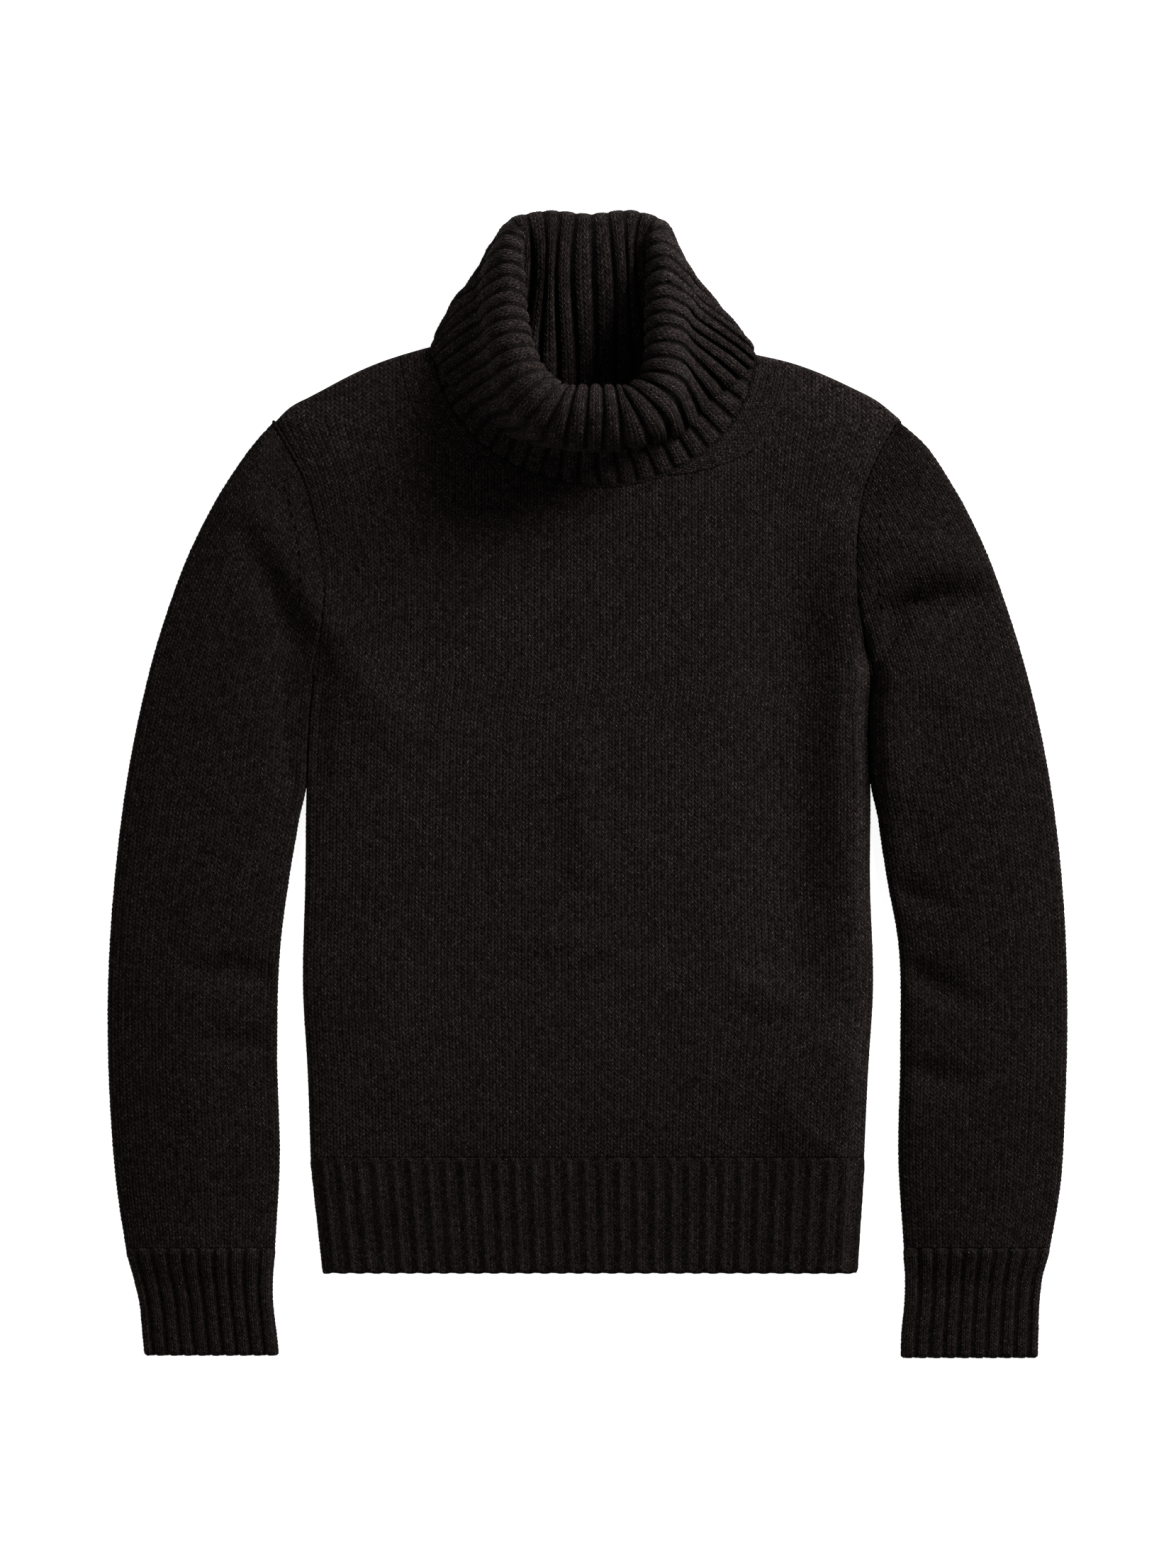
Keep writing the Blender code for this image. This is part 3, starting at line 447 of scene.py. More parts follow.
def yarnMaterial(name, look):
    material = bpy.data.materials.new(name)
    material.use_nodes = True
    tree = material.node_tree
    shader = tree.nodes["Principled BSDF"]
    place = addNode(tree, "ShaderNodeTexCoord").outputs["Object"]
    stitchMap = addNode(tree, "ShaderNodeUVMap", uv_map="knit").outputs[0]
    parts = addNode(tree, "ShaderNodeSeparateXYZ", {0: stitchMap}).outputs
    across, along = legShape(tree, parts[0], parts[1], knit["vLean"])
    heart = maths(tree, "MULTIPLY", heartShape(tree, parts[0]), look["heartFill"])
    filled = maths(tree, "MAXIMUM", maths(tree, "POWER", across, look["legFullness"]), heart)
    leg = maths(tree, "MULTIPLY", shaded(tree, filled, look["legFloor"]),
                shaded(tree, along, look["dipFloor"]))

    heather = ranged(tree, noiseAt(tree, place, *look["heatherNoise"]), look["heatherFrom"])
    paleFibresAndGlints = ranged(tree, noiseAt(tree, place, *look["paleFibreAndGlintNoise"]), look["paleFibreAndGlintFrom"])
    cloud = ranged(tree, noiseAt(tree, place, *look["cloudNoise"]), look["cloudFrom"])
    base = mixColours(tree, heather, look["dark"], look["light"])
    # pale fibres and painted glints, laid on the legs' crests
    base = mixColours(tree, maths(tree, "MULTIPLY", paleFibresAndGlints, leg), base, look["paleFibreAndGlint"])
    # painted shade in the grooves between and under the legs; the tones below are the yarn's own
    paintedShadeAndTone = shaded(tree, leg, look["paintedGrooveShade"])
    clouded = maths(tree, "MULTIPLY_ADD", cloud, look["cloudStrength"], 1 - look["cloudStrength"] / 2)
    paintedShadeAndTone = maths(tree, "MULTIPLY", paintedShadeAndTone, clouded)
    legNumber = addNode(tree, "ShaderNodeCombineXYZ", {
        0: maths(tree, "FLOOR", maths(tree, "MULTIPLY", parts[0], 2.0)),
        1: maths(tree, "FLOOR", parts[1])}).outputs[0]
    legTone = addNode(tree, "ShaderNodeTexWhiteNoise", {"Vector": legNumber}, noise_dimensions="2D")
    toneLow, toneHigh = look["legTone"]
    tone = maths(tree, "MULTIPLY_ADD", legTone.outputs[0], toneHigh - toneLow, toneLow)
    paintedShadeAndTone = maths(tree, "MULTIPLY", paintedShadeAndTone, tone)
    # painted shade in the purled gutters
    gutter = addNode(tree, "ShaderNodeAttribute", attribute_name="gutter").outputs["Fac"]
    paintedShadeAndTone = maths(tree, "MULTIPLY", paintedShadeAndTone, maths(tree, "MULTIPLY_ADD", gutter, -look["paintedGutterShade"], 1.0))
    paintedShadeAndTone = maths(tree, "MULTIPLY", paintedShadeAndTone, look["tone"])
    grey = addNode(tree, "ShaderNodeCombineColor", {0: paintedShadeAndTone, 1: paintedShadeAndTone, 2: paintedShadeAndTone}).outputs[0]
    base = mixColours(tree, 1.0, base, grey, "MULTIPLY")
    tree.links.new(base, shader.inputs["Base Color"])

    fibre = noiseAt(tree, place, *look["fibreNoise"])
    legBump = addNode(tree, "ShaderNodeBump", {"Height": leg, "Distance": look["legBump"]})
    fibreBump = addNode(tree, "ShaderNodeBump", {"Height": fibre, "Distance": look["fibreBump"],
                                                 "Normal": legBump.outputs[0]})
    tree.links.new(fibreBump.outputs[0], shader.inputs["Normal"])
    for socket, key in (("Roughness", "roughness"), ("Specular IOR Level", "specular"),
                        ("Sheen Weight", "sheen"), ("Sheen Roughness", "sheenRoughness"),
                        ("Sheen Tint", "sheenTint")):
        shader.inputs[socket].default_value = look[key]
    return material


# Body outline, shared by the panels and the sleeves' seams

body = {
    "joinY": -248.0,             # where the plain knit turns into rib
    "underarmY": 75.0,
    "flareWidth": 85.0,          # how far in from an armhole the wales lean with it
    "neckLeft": (-101.8, 290.2),
    "neckRight": (111.2, 284.6),
    "neckDepthFront": 90.2,
    "neckDepthBack": 30.0,
    "wales": 86,
    "edgeRadius": 3.0,           # the side edges turn over
    "armholeRadius": 1.7,
    "shoulderRadius": 3.0,
    "neckRadius": 1.3,
    "loft": 5.4,                 # how far the front floats above the back
    "loftRun": 24.0,
    "loftMost": 9.0,
    "armholeEase": 14.0,         # the armhole seam lies as high as the cloth this far in from an edge
    "foldDepth": 1.9,            # the folds' heights are multiplied by this
    "foldRun": 7.0,              # the folds run out this near to an edge
    "foldEnds": 0.55,            # share of a fold's height that is left at its two ends
    "hemDistance": 14.0,         # the hem floats as high as the cloth this far in from an edge
    "easeFrom": (8.0, 30.0),     # above the underarm the seam's ease starts here and comes in over this
    "easeTo": (236.0, 25.0),     # it has run out at this height, from this far below
    "armRun": 25.0,              # the wales start to lean over this height above the underarm
    "leanPower": 1.5,
    "turnRun": 15.0,             # a tighter edge takes this far in to find the width of a wider one
    "edgeStart": 0.15,           # the rounding starts this far outside a top edge
    "neckEdge": 0.45,            # share of the wall left at the neckline
    "shoulderEdge": 0.1,
    "topFade": 0.6,              # the stitches run out in the last courses at the top
    "joinFade": 0.3,             # relief left in the first course of a panel or band
    "neckProbe": 1.0,            # the front's height at the neck is read this far below the neckline
    "searchSteps": 40,
}

sideOutline = {
    "y":     [-248.0, -190.0, -138.0, -63.0, -5.0, 45.0, 75.0, 101.0, 125.0, 155.0, 183.0, 205.0, 220.0,
              240.0],
    "left":  [-183.5, -185.5, -188.5, -187.0, -186.3, -184.3, -181.0, -177.3, -175.0, -176.2, -181.5,
              -188.5, -196.5, -208.6],
    "right": [183.6, 186.3, 189.5, 187.5, 187.8, 186.9, 188.6, 184.0, 180.0, 179.0, 181.8, 189.0, 195.8,
              207.4],
}
shoulderLine = {
    "x": [-208.6, -199.0, -182.0, -146.0, -101.8, 111.2, 137.0, 174.6, 193.4, 207.4],
    "y": [238.0, 248.0, 257.5, 276.0, 290.2, 284.6, 278.5, 263.0, 253.0, 241.5],
}

# Soft folds in the upper layer: a line from (x0, y0) to (x1, y1), its half width and its height
folds = {
    "x0":     [140.0, 176.0, -4.0, -39.0, -236.0, 166.0, 104.0, -224.0, -194.0, 206.0, 189.0,
               208.0, 206.0, 186.0, -262.0, -250.0, 200.0, 206.0, 214.0, 190.0, -45.0],
    "y0":     [170.0, 150.0, 22.0, -104.0, 190.0, -158.0, -134.0, 162.0, 98.0, 62.0, 80.0,
               113.0, 80.0, 168.0, -123.0, -170.0, -70.0, -120.0, -190.0, 124.0, 212.0],
    "x1":     [138.0, 175.0, -4.0, 17.0, -130.0, 164.0, 132.0, -197.0, -190.0, 204.0, 215.0,
               252.0, 236.0, 250.0, -206.0, -211.0, 234.0, 248.0, 250.0, 238.0, 50.0],
    "y1":     [-110.0, -110.0, -50.0, -106.0, 40.0, -255.0, -142.0, 104.0, 8.0, 0.0, 116.0,
               124.0, 66.0, 150.0, -127.0, -174.0, -78.0, -143.0, -198.0, 152.0, 212.0],
    "width":  [24.0, 18.0, 9.0, 8.0, 13.0, 30.0, 8.0, 9.0, 10.0, 10.0, 5.0,
               8.5, 14.0, 13.0, 7.0, 6.5, 6.5, 7.0, 7.0, 10.0, 22.0],
    "height": [-3.2, 5.4, 1.1, 0.8, 1.9, 3.8, 1.3, -3.2, -3.0, 2.6, -3.8,
               -3.8, 1.8, 1.3, -1.7, -1.4, -1.4, -1.9, -1.5, 1.8, 1.6],
}


def sideX(y, side):
    return smoothCurve(sideOutline["y"], sideOutline[side], y)


def neckY(x, depth):
    (xa, ya), (xb, yb) = body["neckLeft"], body["neckRight"]
    level = np.interp(x, [xa, xb], [ya, yb])
    return level - depth * np.sqrt(np.clip(1 - ((x - (xa + xb) / 2) / ((xb - xa) / 2)) ** 2, 0, 1))


def isInNeck(x):
    return (x > body["neckLeft"][0]) & (x < body["neckRight"][0])


def shoulderY(x):
    return smoothCurve(shoulderLine["x"], shoulderLine["y"], x)


def topLine(x, depth):
    return np.where(isInNeck(x), neckY(x, depth), shoulderY(x))


def foldHeight(x, y):
    total = np.zeros(np.broadcast(x, y).shape)
    ends = body["foldEnds"]
    for x0, y0, x1, y1, width, height in zip(*folds.values()):
        dx, dy = x1 - x0, y1 - y0
        t = np.clip(((x - x0) * dx + (y - y0) * dy) / (dx * dx + dy * dy), 0, 1)
        away = np.hypot(x - x0 - t * dx, y - y0 - t * dy)
        total += height * np.exp(-0.5 * (away / width) ** 2) * (ends + (1 - ends) * np.sin(np.pi * t))
    return total


def seamEase(y):
    # 1 along the armhole, 0 at the underarm and at the shoulder point
    (above, run), (top, topRun) = body["easeFrom"], body["easeTo"]
    return smoothStep((y - body["underarmY"] - above) / run) * smoothStep((top - y) / topRun)


def lift(x, y, edgeDistance, loft=body["loft"]):
    crown = loft * (1 - np.exp(-edgeDistance / body["loftRun"]))
    held = 1 - np.exp(-(edgeDistance / body["foldRun"]) ** 2)
    folded = crown + body["foldDepth"] * held * foldHeight(x, y)
    return np.clip(folded, 0.0, loft + body["loftMost"] - body["loft"])


def edgeTurn(s, radius):
    # plan distance and share of the wall's height at distance s along the cloth from a turned edge
    arc = body["edgeRadius"] * math.pi / 2
    angle = np.clip(s / arc, 0, 1) * math.pi / 2
    flat = np.maximum(s - arc, 0.0)
    spare = (body["edgeRadius"] - radius) * np.exp(-flat / body["turnRun"])
    return (body["edgeRadius"] - spare) * (1 - np.cos(angle)) + flat, np.sin(angle)


def bodyPlace(wale, y):
    # plan place of a wale at each height, and its share of the wall's height
    arc = body["edgeRadius"] * math.pi / 2
    spread = 2 * (arc - body["edgeRadius"])
    fromLeft = wale <= body["wales"] / 2
    side = "left" if fromLeft else "right"
    count = wale if fromLeft else body["wales"] - wale
    turn = 1 if fromLeft else -1
    edge = sideX(y, side)
    capped = np.minimum(y, body["underarmY"])
    width = sideX(capped, "right") - sideX(capped, "left")
    pitch = (width + spread) / body["wales"]
    aboveArm = smoothStep((y - body["underarmY"]) / body["armRun"])
    radius = body["edgeRadius"] + (body["armholeRadius"] - body["edgeRadius"]) * aboveArm
    away, height = edgeTurn(count * pitch, radius)
    base = sideX(capped, side)
    lean = np.clip(1 - away / body["flareWidth"], 0, 1) ** body["leanPower"]
    return base + turn * away + (edge - base) * lean, height


def bodyTop(wale, depth):
    # height at which a wale meets the top edge, found by going halfway there again and again
    top = sideOutline["y"][-1]
    for _ in range(body["searchSteps"]):
        x, _height = bodyPlace(wale, np.array([top]))
        top = 0.5 * top + 0.5 * float(topLine(x, depth)[0])
    return top


def rimDistances(x, y, depth):
    side = np.minimum(x - sideX(y, "left"), sideX(y, "right") - x)
    corners = [np.hypot(x - p[0], y - p[1]) for p in (body["neckLeft"], body["neckRight"])]
    shoulder = np.where(isInNeck(x), np.minimum(*corners), topLine(x, depth) - y)
    return np.maximum(side, 0), np.maximum(shoulder, 0)


def frontUnderside(x, y):
    side, shoulder = rimDistances(x, y, body["neckDepthFront"])
    side = side + body["armholeEase"] * seamEase(y)
    hem = np.maximum(y - body["joinY"], 0.0)
    edge = np.minimum(np.minimum(side, shoulder), body["hemDistance"] + hem)
    return knit["cloth"] + knit["seamGap"] + lift(x, y, edge)


def panelPoints(wale, y, depth, layer):
    # layer is "face" for the side that shows and "inside" for the hidden one
    x, height = bodyPlace(wale, y)
    inNeck, neckEdge = isInNeck(x), body["neckEdge"]
    radius = np.where(inNeck, body["neckRadius"], body["shoulderRadius"])
    full = roundedEdge(topLine(x, depth) - y + body["edgeStart"], radius)
    full = np.where(inNeck, neckEdge + (1 - neckEdge) * full, full) * height
    if depth == body["neckDepthFront"]:
        z = frontUnderside(x, y) + (knit["cloth"] * full if layer == "face" else 0.0)
    else:
        z = knit["cloth"] * (1 - full) if layer == "face" else np.full(len(x), knit["cloth"])
    return np.stack([x, y, z], -1)


# Beside the front neckline a few wales run along it to the shoulder and the body's wales end at them

neckBand = {
    "wales": 5,
    "start": 26.0,               # degrees from the neckline's lowest point
    "taper": 6.0,                # degrees by which each wale further out starts later
    "inset": 0.5,
    "raised": 0.6,
    "sunk": 0.3,                 # its inner wall lies this far below the panel's face
    "shoulderClear": 0.4,
    "openTop": 400.0,            # beyond the shoulders, so nothing ends the band over the neck opening
    "lead": 1.0,                 # degrees by which its length is measured from before its start
    "step": 0.5,                 # degrees between the points that its length is measured on
    "measuredTo": 95.0,          # degrees
    "farthest": 89.5,            # degrees
    "coverTurn": 1.5,            # the panel's stitches fade under it over these degrees
    "coverEdge": 0.3,            # and over this part of a wale
}


def neckFrame():
    (xa, ya), (xb, yb) = body["neckLeft"], body["neckRight"]
    return (xa + xb) / 2, (xb - xa) / 2, (xa, xb), (ya, yb)


def bandPlace(side, distance, angle):
    # plan place at a distance outside the neckline, at an angle from its lowest point
    middle, half, ends, levels = neckFrame()
    turn = np.radians(angle)
    wide, deep = half * np.sin(turn), body["neckDepthFront"] * np.cos(turn)
    scale = 1 + distance / np.hypot(wide, deep)
    x = middle + side * wide * scale
    return x, np.interp(x, ends, levels) - deep * scale


def bandCover(x, y):
    # 1 where the band lies over the panel
    middle, half, ends, levels = neckFrame()
    depth = body["neckDepthFront"]
    across, below = np.abs(x - middle) / half, (np.interp(x, ends, levels) - y) / depth
    turn = np.arctan2(across, below)
    reach = np.hypot(half * np.sin(turn), depth * np.cos(turn))
    wale = (np.hypot(across, below) - 1) * reach / knit["wale"]
    begun = np.degrees(turn) - neckBand["start"] - neckBand["taper"] * np.maximum(wale, 0)
    inside = np.minimum(wale + neckBand["coverEdge"], neckBand["wales"] - wale)
    return smoothStep(begun / neckBand["coverTurn"]) * smoothStep(inside / neckBand["coverEdge"])


def bandTop(x):
    # the band ends at the shoulder line, and not over the neck opening
    return np.where(isInNeck(x), neckBand["openTop"], shoulderY(x))


def frontFace(x, y):
    start, neckEdge = body["edgeStart"], body["neckEdge"]
    atNeck = roundedEdge(topLine(x, body["neckDepthFront"]) - y + start, body["neckRadius"])
    atShoulder = roundedEdge(bandTop(x) - y + start, body["shoulderRadius"])
    full = np.minimum(neckEdge + (1 - neckEdge) * atNeck, np.maximum(atShoulder, body["shoulderEdge"]))
    return frontUnderside(x, y) + knit["cloth"] * full


def addNeckBand(cloth, side):
    angles = np.arange(neckBand["start"] - neckBand["lead"], neckBand["measuredTo"], neckBand["step"])
    x, y = bandPlace(side, neckBand["wales"] * knit["wale"] / 2, angles)
    steps = np.hypot(np.diff(x), np.diff(y))
    courses = np.concatenate([[0.0], np.cumsum(steps)]) / knit["course"]
    layers = []
    for layer in ("face", "inside"):
        isFace = layer == "face"
        coarse = [(k, "coarse") for k in range(neckBand["wales"] + 1)]
        rows = plainRows(neckBand["wales"]) if isFace else coarse
        columns = []
        for wale, kind in rows:
            distance = neckBand["inset"] + wale * knit["wale"]
            first = np.interp(neckBand["start"] + neckBand["taper"] * wale, angles, courses)
            x, y = bandPlace(side, distance, angles)
            below = y < bandTop(x) - neckBand["shoulderClear"]
            last = courses[np.flatnonzero(below & (angles < neckBand["farthest"]))[-1]]
            marks = courseMarks(kind, first, last)
            x, y = bandPlace(side, distance, np.interp(marks, courses, angles))
            z = frontFace(x, y) + (neckBand["raised"] if isFace else -neckBand["sunk"])
            points = np.stack([x, y, z], -1)
            columns.append(addColumn(cloth, points, wale, marks, fade=1.0 if isFace else 0.0))
        layers.append(columns)
    closeSheet(cloth, *layers)


def knitPanel(name, depth):
    cloth = newCloth()
    isFront = depth == body["neckDepthFront"]
    face = []
    for wale, kind in plainRows(body["wales"]):
        top = bodyTop(wale, depth)
        marks = courseMarks(kind, 0.0, (top - body["joinY"]) / knit["course"])
        y = body["joinY"] + marks * knit["course"]
        fade = smoothStep((marks[-1] - marks) / body["topFade"])
        fade[0] = body["joinFade"]
        if wale in (0, body["wales"]):
            fade[:] = 0.0
        points = panelPoints(wale, y, depth, "face")
        if isFront:
            fade = fade * (1 - bandCover(points[:, 0], points[:, 1]))
        face.append(addColumn(cloth, points, wale, marks, fade=fade))
    inside = []
    for wale in range(0, body["wales"] + 1, knit["coarseWales"]):
        top = bodyTop(wale, depth)
        marks = courseMarks("coarse", 0.0, (top - body["joinY"]) / knit["course"])
        y = body["joinY"] + marks * knit["course"]
        points = panelPoints(wale, y, depth, "inside")
        inside.append(addColumn(cloth, points, wale, marks, fade=0.0))
    closeSheet(cloth, face, inside)
    if isFront:
        for side in (-1, 1):
            addNeckBand(cloth, side)
    return clothObject(name, cloth)


# Rib band under the body

hem = {
    "ribs": 32,
    "endY": -324.0,
    "drawIn": (8.5, 5.0),        # how much narrower it ends on the left and the right
    "endRadius": 1.8,
    "join": 4.0,                 # the ribs grow out of the plain knit over this height
    "ribEnds": 1.0,              # the rib ends stand out by this at the cast-off edge
    "endCourses": 4.0,           # and less and less over these courses
    "endStart": 0.1,             # the rounding starts this far outside the cast-off edge
    "endFade": (0.3, 1.2),       # relief at the cast-off edge, and the courses over which it grows
}


def hemPlace(share, y):
    t = (body["joinY"] - y) / (body["joinY"] - hem["endY"])
    left = sideX(body["joinY"], "left") + hem["drawIn"][0] * t
    right = sideX(body["joinY"], "right") - hem["drawIn"][1] * t
    arc = body["edgeRadius"] * math.pi / 2
    width = right - left + 2 * (arc - body["edgeRadius"])
    s = share * width
    fromLeft = share <= 0.5
    away, height = edgeTurn(np.where(fromLeft, s, width - s), body["edgeRadius"])
    return np.where(fromLeft, left + away, right - away), height, left, right


def hemPoints(share, y, layer, isFront):
    x, height, left, right = hemPlace(share, y)
    end = roundedEdge(y - hem["endY"] + hem["endStart"], hem["endRadius"])
    full = end * height
    if isFront:
        edge = np.minimum(np.minimum(x - left, right - x), body["hemDistance"])
        joinY = np.full(len(x), body["joinY"])
        low = knit["cloth"] + knit["seamGap"] + lift(x, joinY, np.maximum(edge, 0))
        middle = 0.5 * (1 - end)
        z = low + knit["cloth"] * (full + middle * height if layer == "face" else middle)
    else:
        z = knit["cloth"] * (1 - full) if layer == "face" else np.full(len(x), knit["cloth"])
    return np.stack([x, y, z], -1)


def ribFlat(place, rib):
    # 1 on the flat of a rib and 0 in the gutter beside it
    fromRib = abs(place - rib["knitted"] / 2)
    return max(0.0, 1 - (min(fromRib, 1 - fromRib) / rib["half"]) ** rib["roundness"])


def ribEnds(place, marks, swell):
    # how far the end of a band's rib stands out
    return swell * ribFlat(place, bandRib) * smoothStep(1 - marks / hem["endCourses"])


def joinFade(fromJoin, run):
    # relief where a band grows out of the plain knit
    return body["joinFade"] + (1 - body["joinFade"]) * smoothStep(fromJoin / run)


def ribbedColumns(ribs, closed, knitted=bandRib["knitted"]):
    # wale count, place in its rib, share of the whole width and kind of each column
    oneRib = [(knitted * place, wale, kind) for place, wale, kind in ribKnitColumns]
    oneRib += [(knitted + (1 - knitted) * place, wale, kind) for place, wale, kind in ribPurlColumns]
    rows = [(4 * k + wale, place, (k + place) / ribs, kind)
            for k in range(ribs) for place, wale, kind in oneRib]
    if closed:
        return rows
    return rows + [(4 * ribs, 0.0, 1.0, "groove")]


def knitHem(name, isFront):
    cloth = newCloth()
    last = (body["joinY"] - hem["endY"]) / knit["ribCourse"]
    endFade, endRun = hem["endFade"]
    face, inside = [], []
    rows = ribbedColumns(hem["ribs"], False)
    for k, (wale, place, share, kind) in enumerate(rows):
        marks = courseMarks(kind, 0.0, last)
        y = hem["endY"] + marks * knit["ribCourse"]
        fade = joinFade(body["joinY"] - y, hem["join"]) * smoothStep(endFade + marks / endRun)
        if k in (0, len(rows) - 1):
            fade[:] = 0.0
        points = hemPoints(share, y, "face", isFront)
        points[:, 1] -= ribEnds(place, marks, hem["ribEnds"])
        face.append(addColumn(cloth, points, wale, marks, place, fade))
    for k in range(hem["ribs"] + 1):
        marks = courseMarks("coarse", 0.0, last)
        y = hem["endY"] + marks * knit["ribCourse"]
        points = hemPoints(k / hem["ribs"], y, "inside", isFront)
        inside.append(addColumn(cloth, points, 4 * k, marks, fade=0.0))
    closeSheet(cloth, face, inside)
    return clothObject(name, cloth)


# Sleeves and cuffs: flat tubes, counted round from the outer fold over the upper side

sleeve = {
    "wales": 52,
    "joinY": -308.0,
    "slit": 0.6,                 # height of the flat hollow inside
    "seamTaper": 0.6,            # how fast the sleeve fills out below the armhole
    "seamRadius": 2.2,
    "loft": 7.0,
    "armholeEase": 10.0,
    "touch": (-25.0, 8.0),       # the sleeve lies against the body above these heights
    "touchOverlap": 0.55,
    "floorClear": 0.45,          # the underside's stitches stand on the floor
    "seamEdge": 0.25,            # share of the wall left at the armhole
    "topFade": 1.6,              # the stitches run out this near to the armhole
    "searchSteps": 30,
}
sleeveOuter = {
    "y":     [229.0, 200.0, 162.0, 106.0, 31.0, -63.0, -140.0, -214.0, -270.0, -308.0],
    "left":  [-218.0, -239.0, -259.8, -281.3, -300.2, -313.5, -318.0, -316.5, -311.8, -306.0],
    "right": [219.8, 240.9, 261.0, 281.8, 301.5, 314.8, 318.4, 317.0, 313.4, 306.8],
}
sleeveInner = {
    "y":     [31.0, -7.0, -63.0, -101.0, -176.0, -251.0, -308.0],
    "left":  [-186.2, -188.8, -197.6, -202.8, -205.6, -203.9, -207.0],
    "right": [190.9, 191.3, 198.6, 205.6, 207.5, 206.3, 209.9],
}
cuff = {
    "ribs": 20,
    "endY": {"left": -378.4, "right": -380.0},
    "loft": 2.5,
    "ribEnds": 0.8,
    "settle": 26.0,              # it sinks from the sleeve's height to its own over this run
    "endRadius": 1.8,
    "endStart": 0.1,
    "endFade": (0.3, 3.0),       # relief at the cast-off edge, and the height over which it grows
    "join": 4.0,
}
cuffSections = {
    "y":           [-308.0, -326.0, -345.0, -364.0, -380.0],
    "leftOuter":   [-306.0, -300.8, -296.3, -294.6, -293.0],
    "leftInner":   [-207.0, -208.9, -208.9, -206.6, -204.8],
    "rightInner":  [209.9, 211.2, 210.8, 208.9, 208.4],
    "rightOuter":  [306.8, 301.6, 299.2, 298.6, 298.2],
}


def outwardOf(side):
    return -1 if side == "left" else 1


def armholeX(y, side):
    return sideX(y, side) - outwardOf(side) * sleeve["touchOverlap"]


def sleeveEdges(y, side):
    # outer and inner fold; above the underarm the inner one runs on beside the outer one
    tip, under = sideOutline["y"][-1], body["underarmY"]
    outerX = [float(armholeX(tip, side))] + sleeveOuter[side]
    outer = smoothCurve([tip] + sleeveOuter["y"], outerX, y)
    innerX = [float(armholeX(under, side))] + sleeveInner[side]
    inner = smoothCurve([under] + sleeveInner["y"], innerX, y)
    touchLow, touchHigh = sleeve["touch"]
    touch = smoothStep((y - touchLow) / (touchHigh - touchLow))
    inner = touch * armholeX(y, side) + (1 - touch) * inner
    base = smoothCurve([tip] + sleeveOuter["y"], outerX, under)
    return outer, np.where(y <= under, inner, outer + innerX[0] - base)


def cuffEdges(y, side):
    return [smoothCurve(cuffSections["y"], cuffSections[side + fold], y) for fold in ("Outer", "Inner")]


def tubeReach():
    # half the height of a flattened tube at its folded edge
    return knit["cloth"] + sleeve["slit"] / 2


def tubePlace(share, outer, inner, reach):
    # plan place and height on a flattened tube, at a share of the way round; reach is the distance from
    # the middle of the folded edge
    centre = tubeReach()
    arc = centre * math.pi / 2
    isLower = share > 0.5
    half = 2 * (1 - share if isLower else share)
    flat = np.abs(inner - outer) - 2 * centre
    s = half * (flat + 2 * arc)
    atOuter = np.clip(s / arc, 0, 1) * math.pi / 2
    atInner = np.clip((flat + 2 * arc - s) / arc, 0, 1) * math.pi / 2
    along = np.clip(s - arc, 0, flat)
    inset = centre + along - reach * np.cos(atOuter) + reach * np.cos(atInner)
    rise = np.minimum(np.sin(atOuter), np.sin(atInner))
    towards = np.sign(inner - outer)
    z = centre + (-reach if isLower else reach) * rise
    return outer + towards * inset, z, (0.0 if isLower else 1.0) * rise


def sleeveTop(side, share):
    # height at which a column of the sleeve meets the armhole, found by halving
    low, high = body["underarmY"], sideOutline["y"][-1]
    for _ in range(sleeve["searchSteps"]):
        y = np.array([(low + high) / 2])
        outer, inner = sleeveEdges(y, side)
        x, _z, _rise = tubePlace(share, outer, inner, tubeReach())
        if outwardOf(side) * (x[0] - armholeX(y, side)[0]) > 0:
            low = y[0]
        else:
            high = y[0]
    return low


def sleevePoints(side, share, y, top, layer):
    outer, inner = sleeveEdges(y, side)
    slit = sleeve["slit"] / 2
    full = sleeve["seamEdge"] + (1 - sleeve["seamEdge"]) * roundedEdge(top - y, sleeve["seamRadius"])
    reach = slit + knit["cloth"] * (0.5 + 0.5 * full) if layer == "face" else np.full(len(y), slit)
    x, z, rise = tubePlace(share, outer, inner, reach)
    seam = sleeve["seamTaper"] * (top - y) + sleeve["armholeEase"] * seamEase(top)
    inside = np.abs(inner - x) + sleeve["armholeEase"] * seamEase(y)
    edge = np.minimum(np.minimum(np.abs(x - outer), inside), seam)
    z = z + rise * lift(x, y, np.maximum(edge, 0.0), sleeve["loft"])
    if layer == "face":
        z = np.maximum(z, sleeve["floorClear"])
    return np.stack([x, y, z], -1)


def knitTube(name, rows, coarseRows, first, lastOf, courseHeight, pointsOf, fadeOf):
    # rows hold wale, place in rib, share round and kind of each column
    cloth = newCloth()
    made = []
    for layer, layerRows in (("face", rows), ("inside", coarseRows)):
        columns = []
        for wale, place, share, kind in layerRows:
            last = lastOf(share)
            marks = courseMarks(kind, 0.0, (last - first) / courseHeight)
            y = first + marks * courseHeight
            fade = fadeOf(y, last) if layer == "face" else 0.0
            points = pointsOf(share, y, last, layer)
            if layer == "face" and place != noRib:
                points[:, 1] -= ribEnds(place, marks, cuff["ribEnds"])
            columns.append(addColumn(cloth, points, wale, marks, place, fade))
        made.append(columns)
        lap = dict(columns[0], wale=layerRows[-1][0] + 1 - layerRows[-1][0] % 1)
        zipSheet(cloth, columns + [lap])
    shares = [[row[2] for row in layerRows] for layerRows in (rows, coarseRows)]
    for at in (0, -1):
        zipRings(cloth, endRing(made[0], shares[0], at), endRing(made[1], shares[1], at))
    return clothObject(name, cloth)


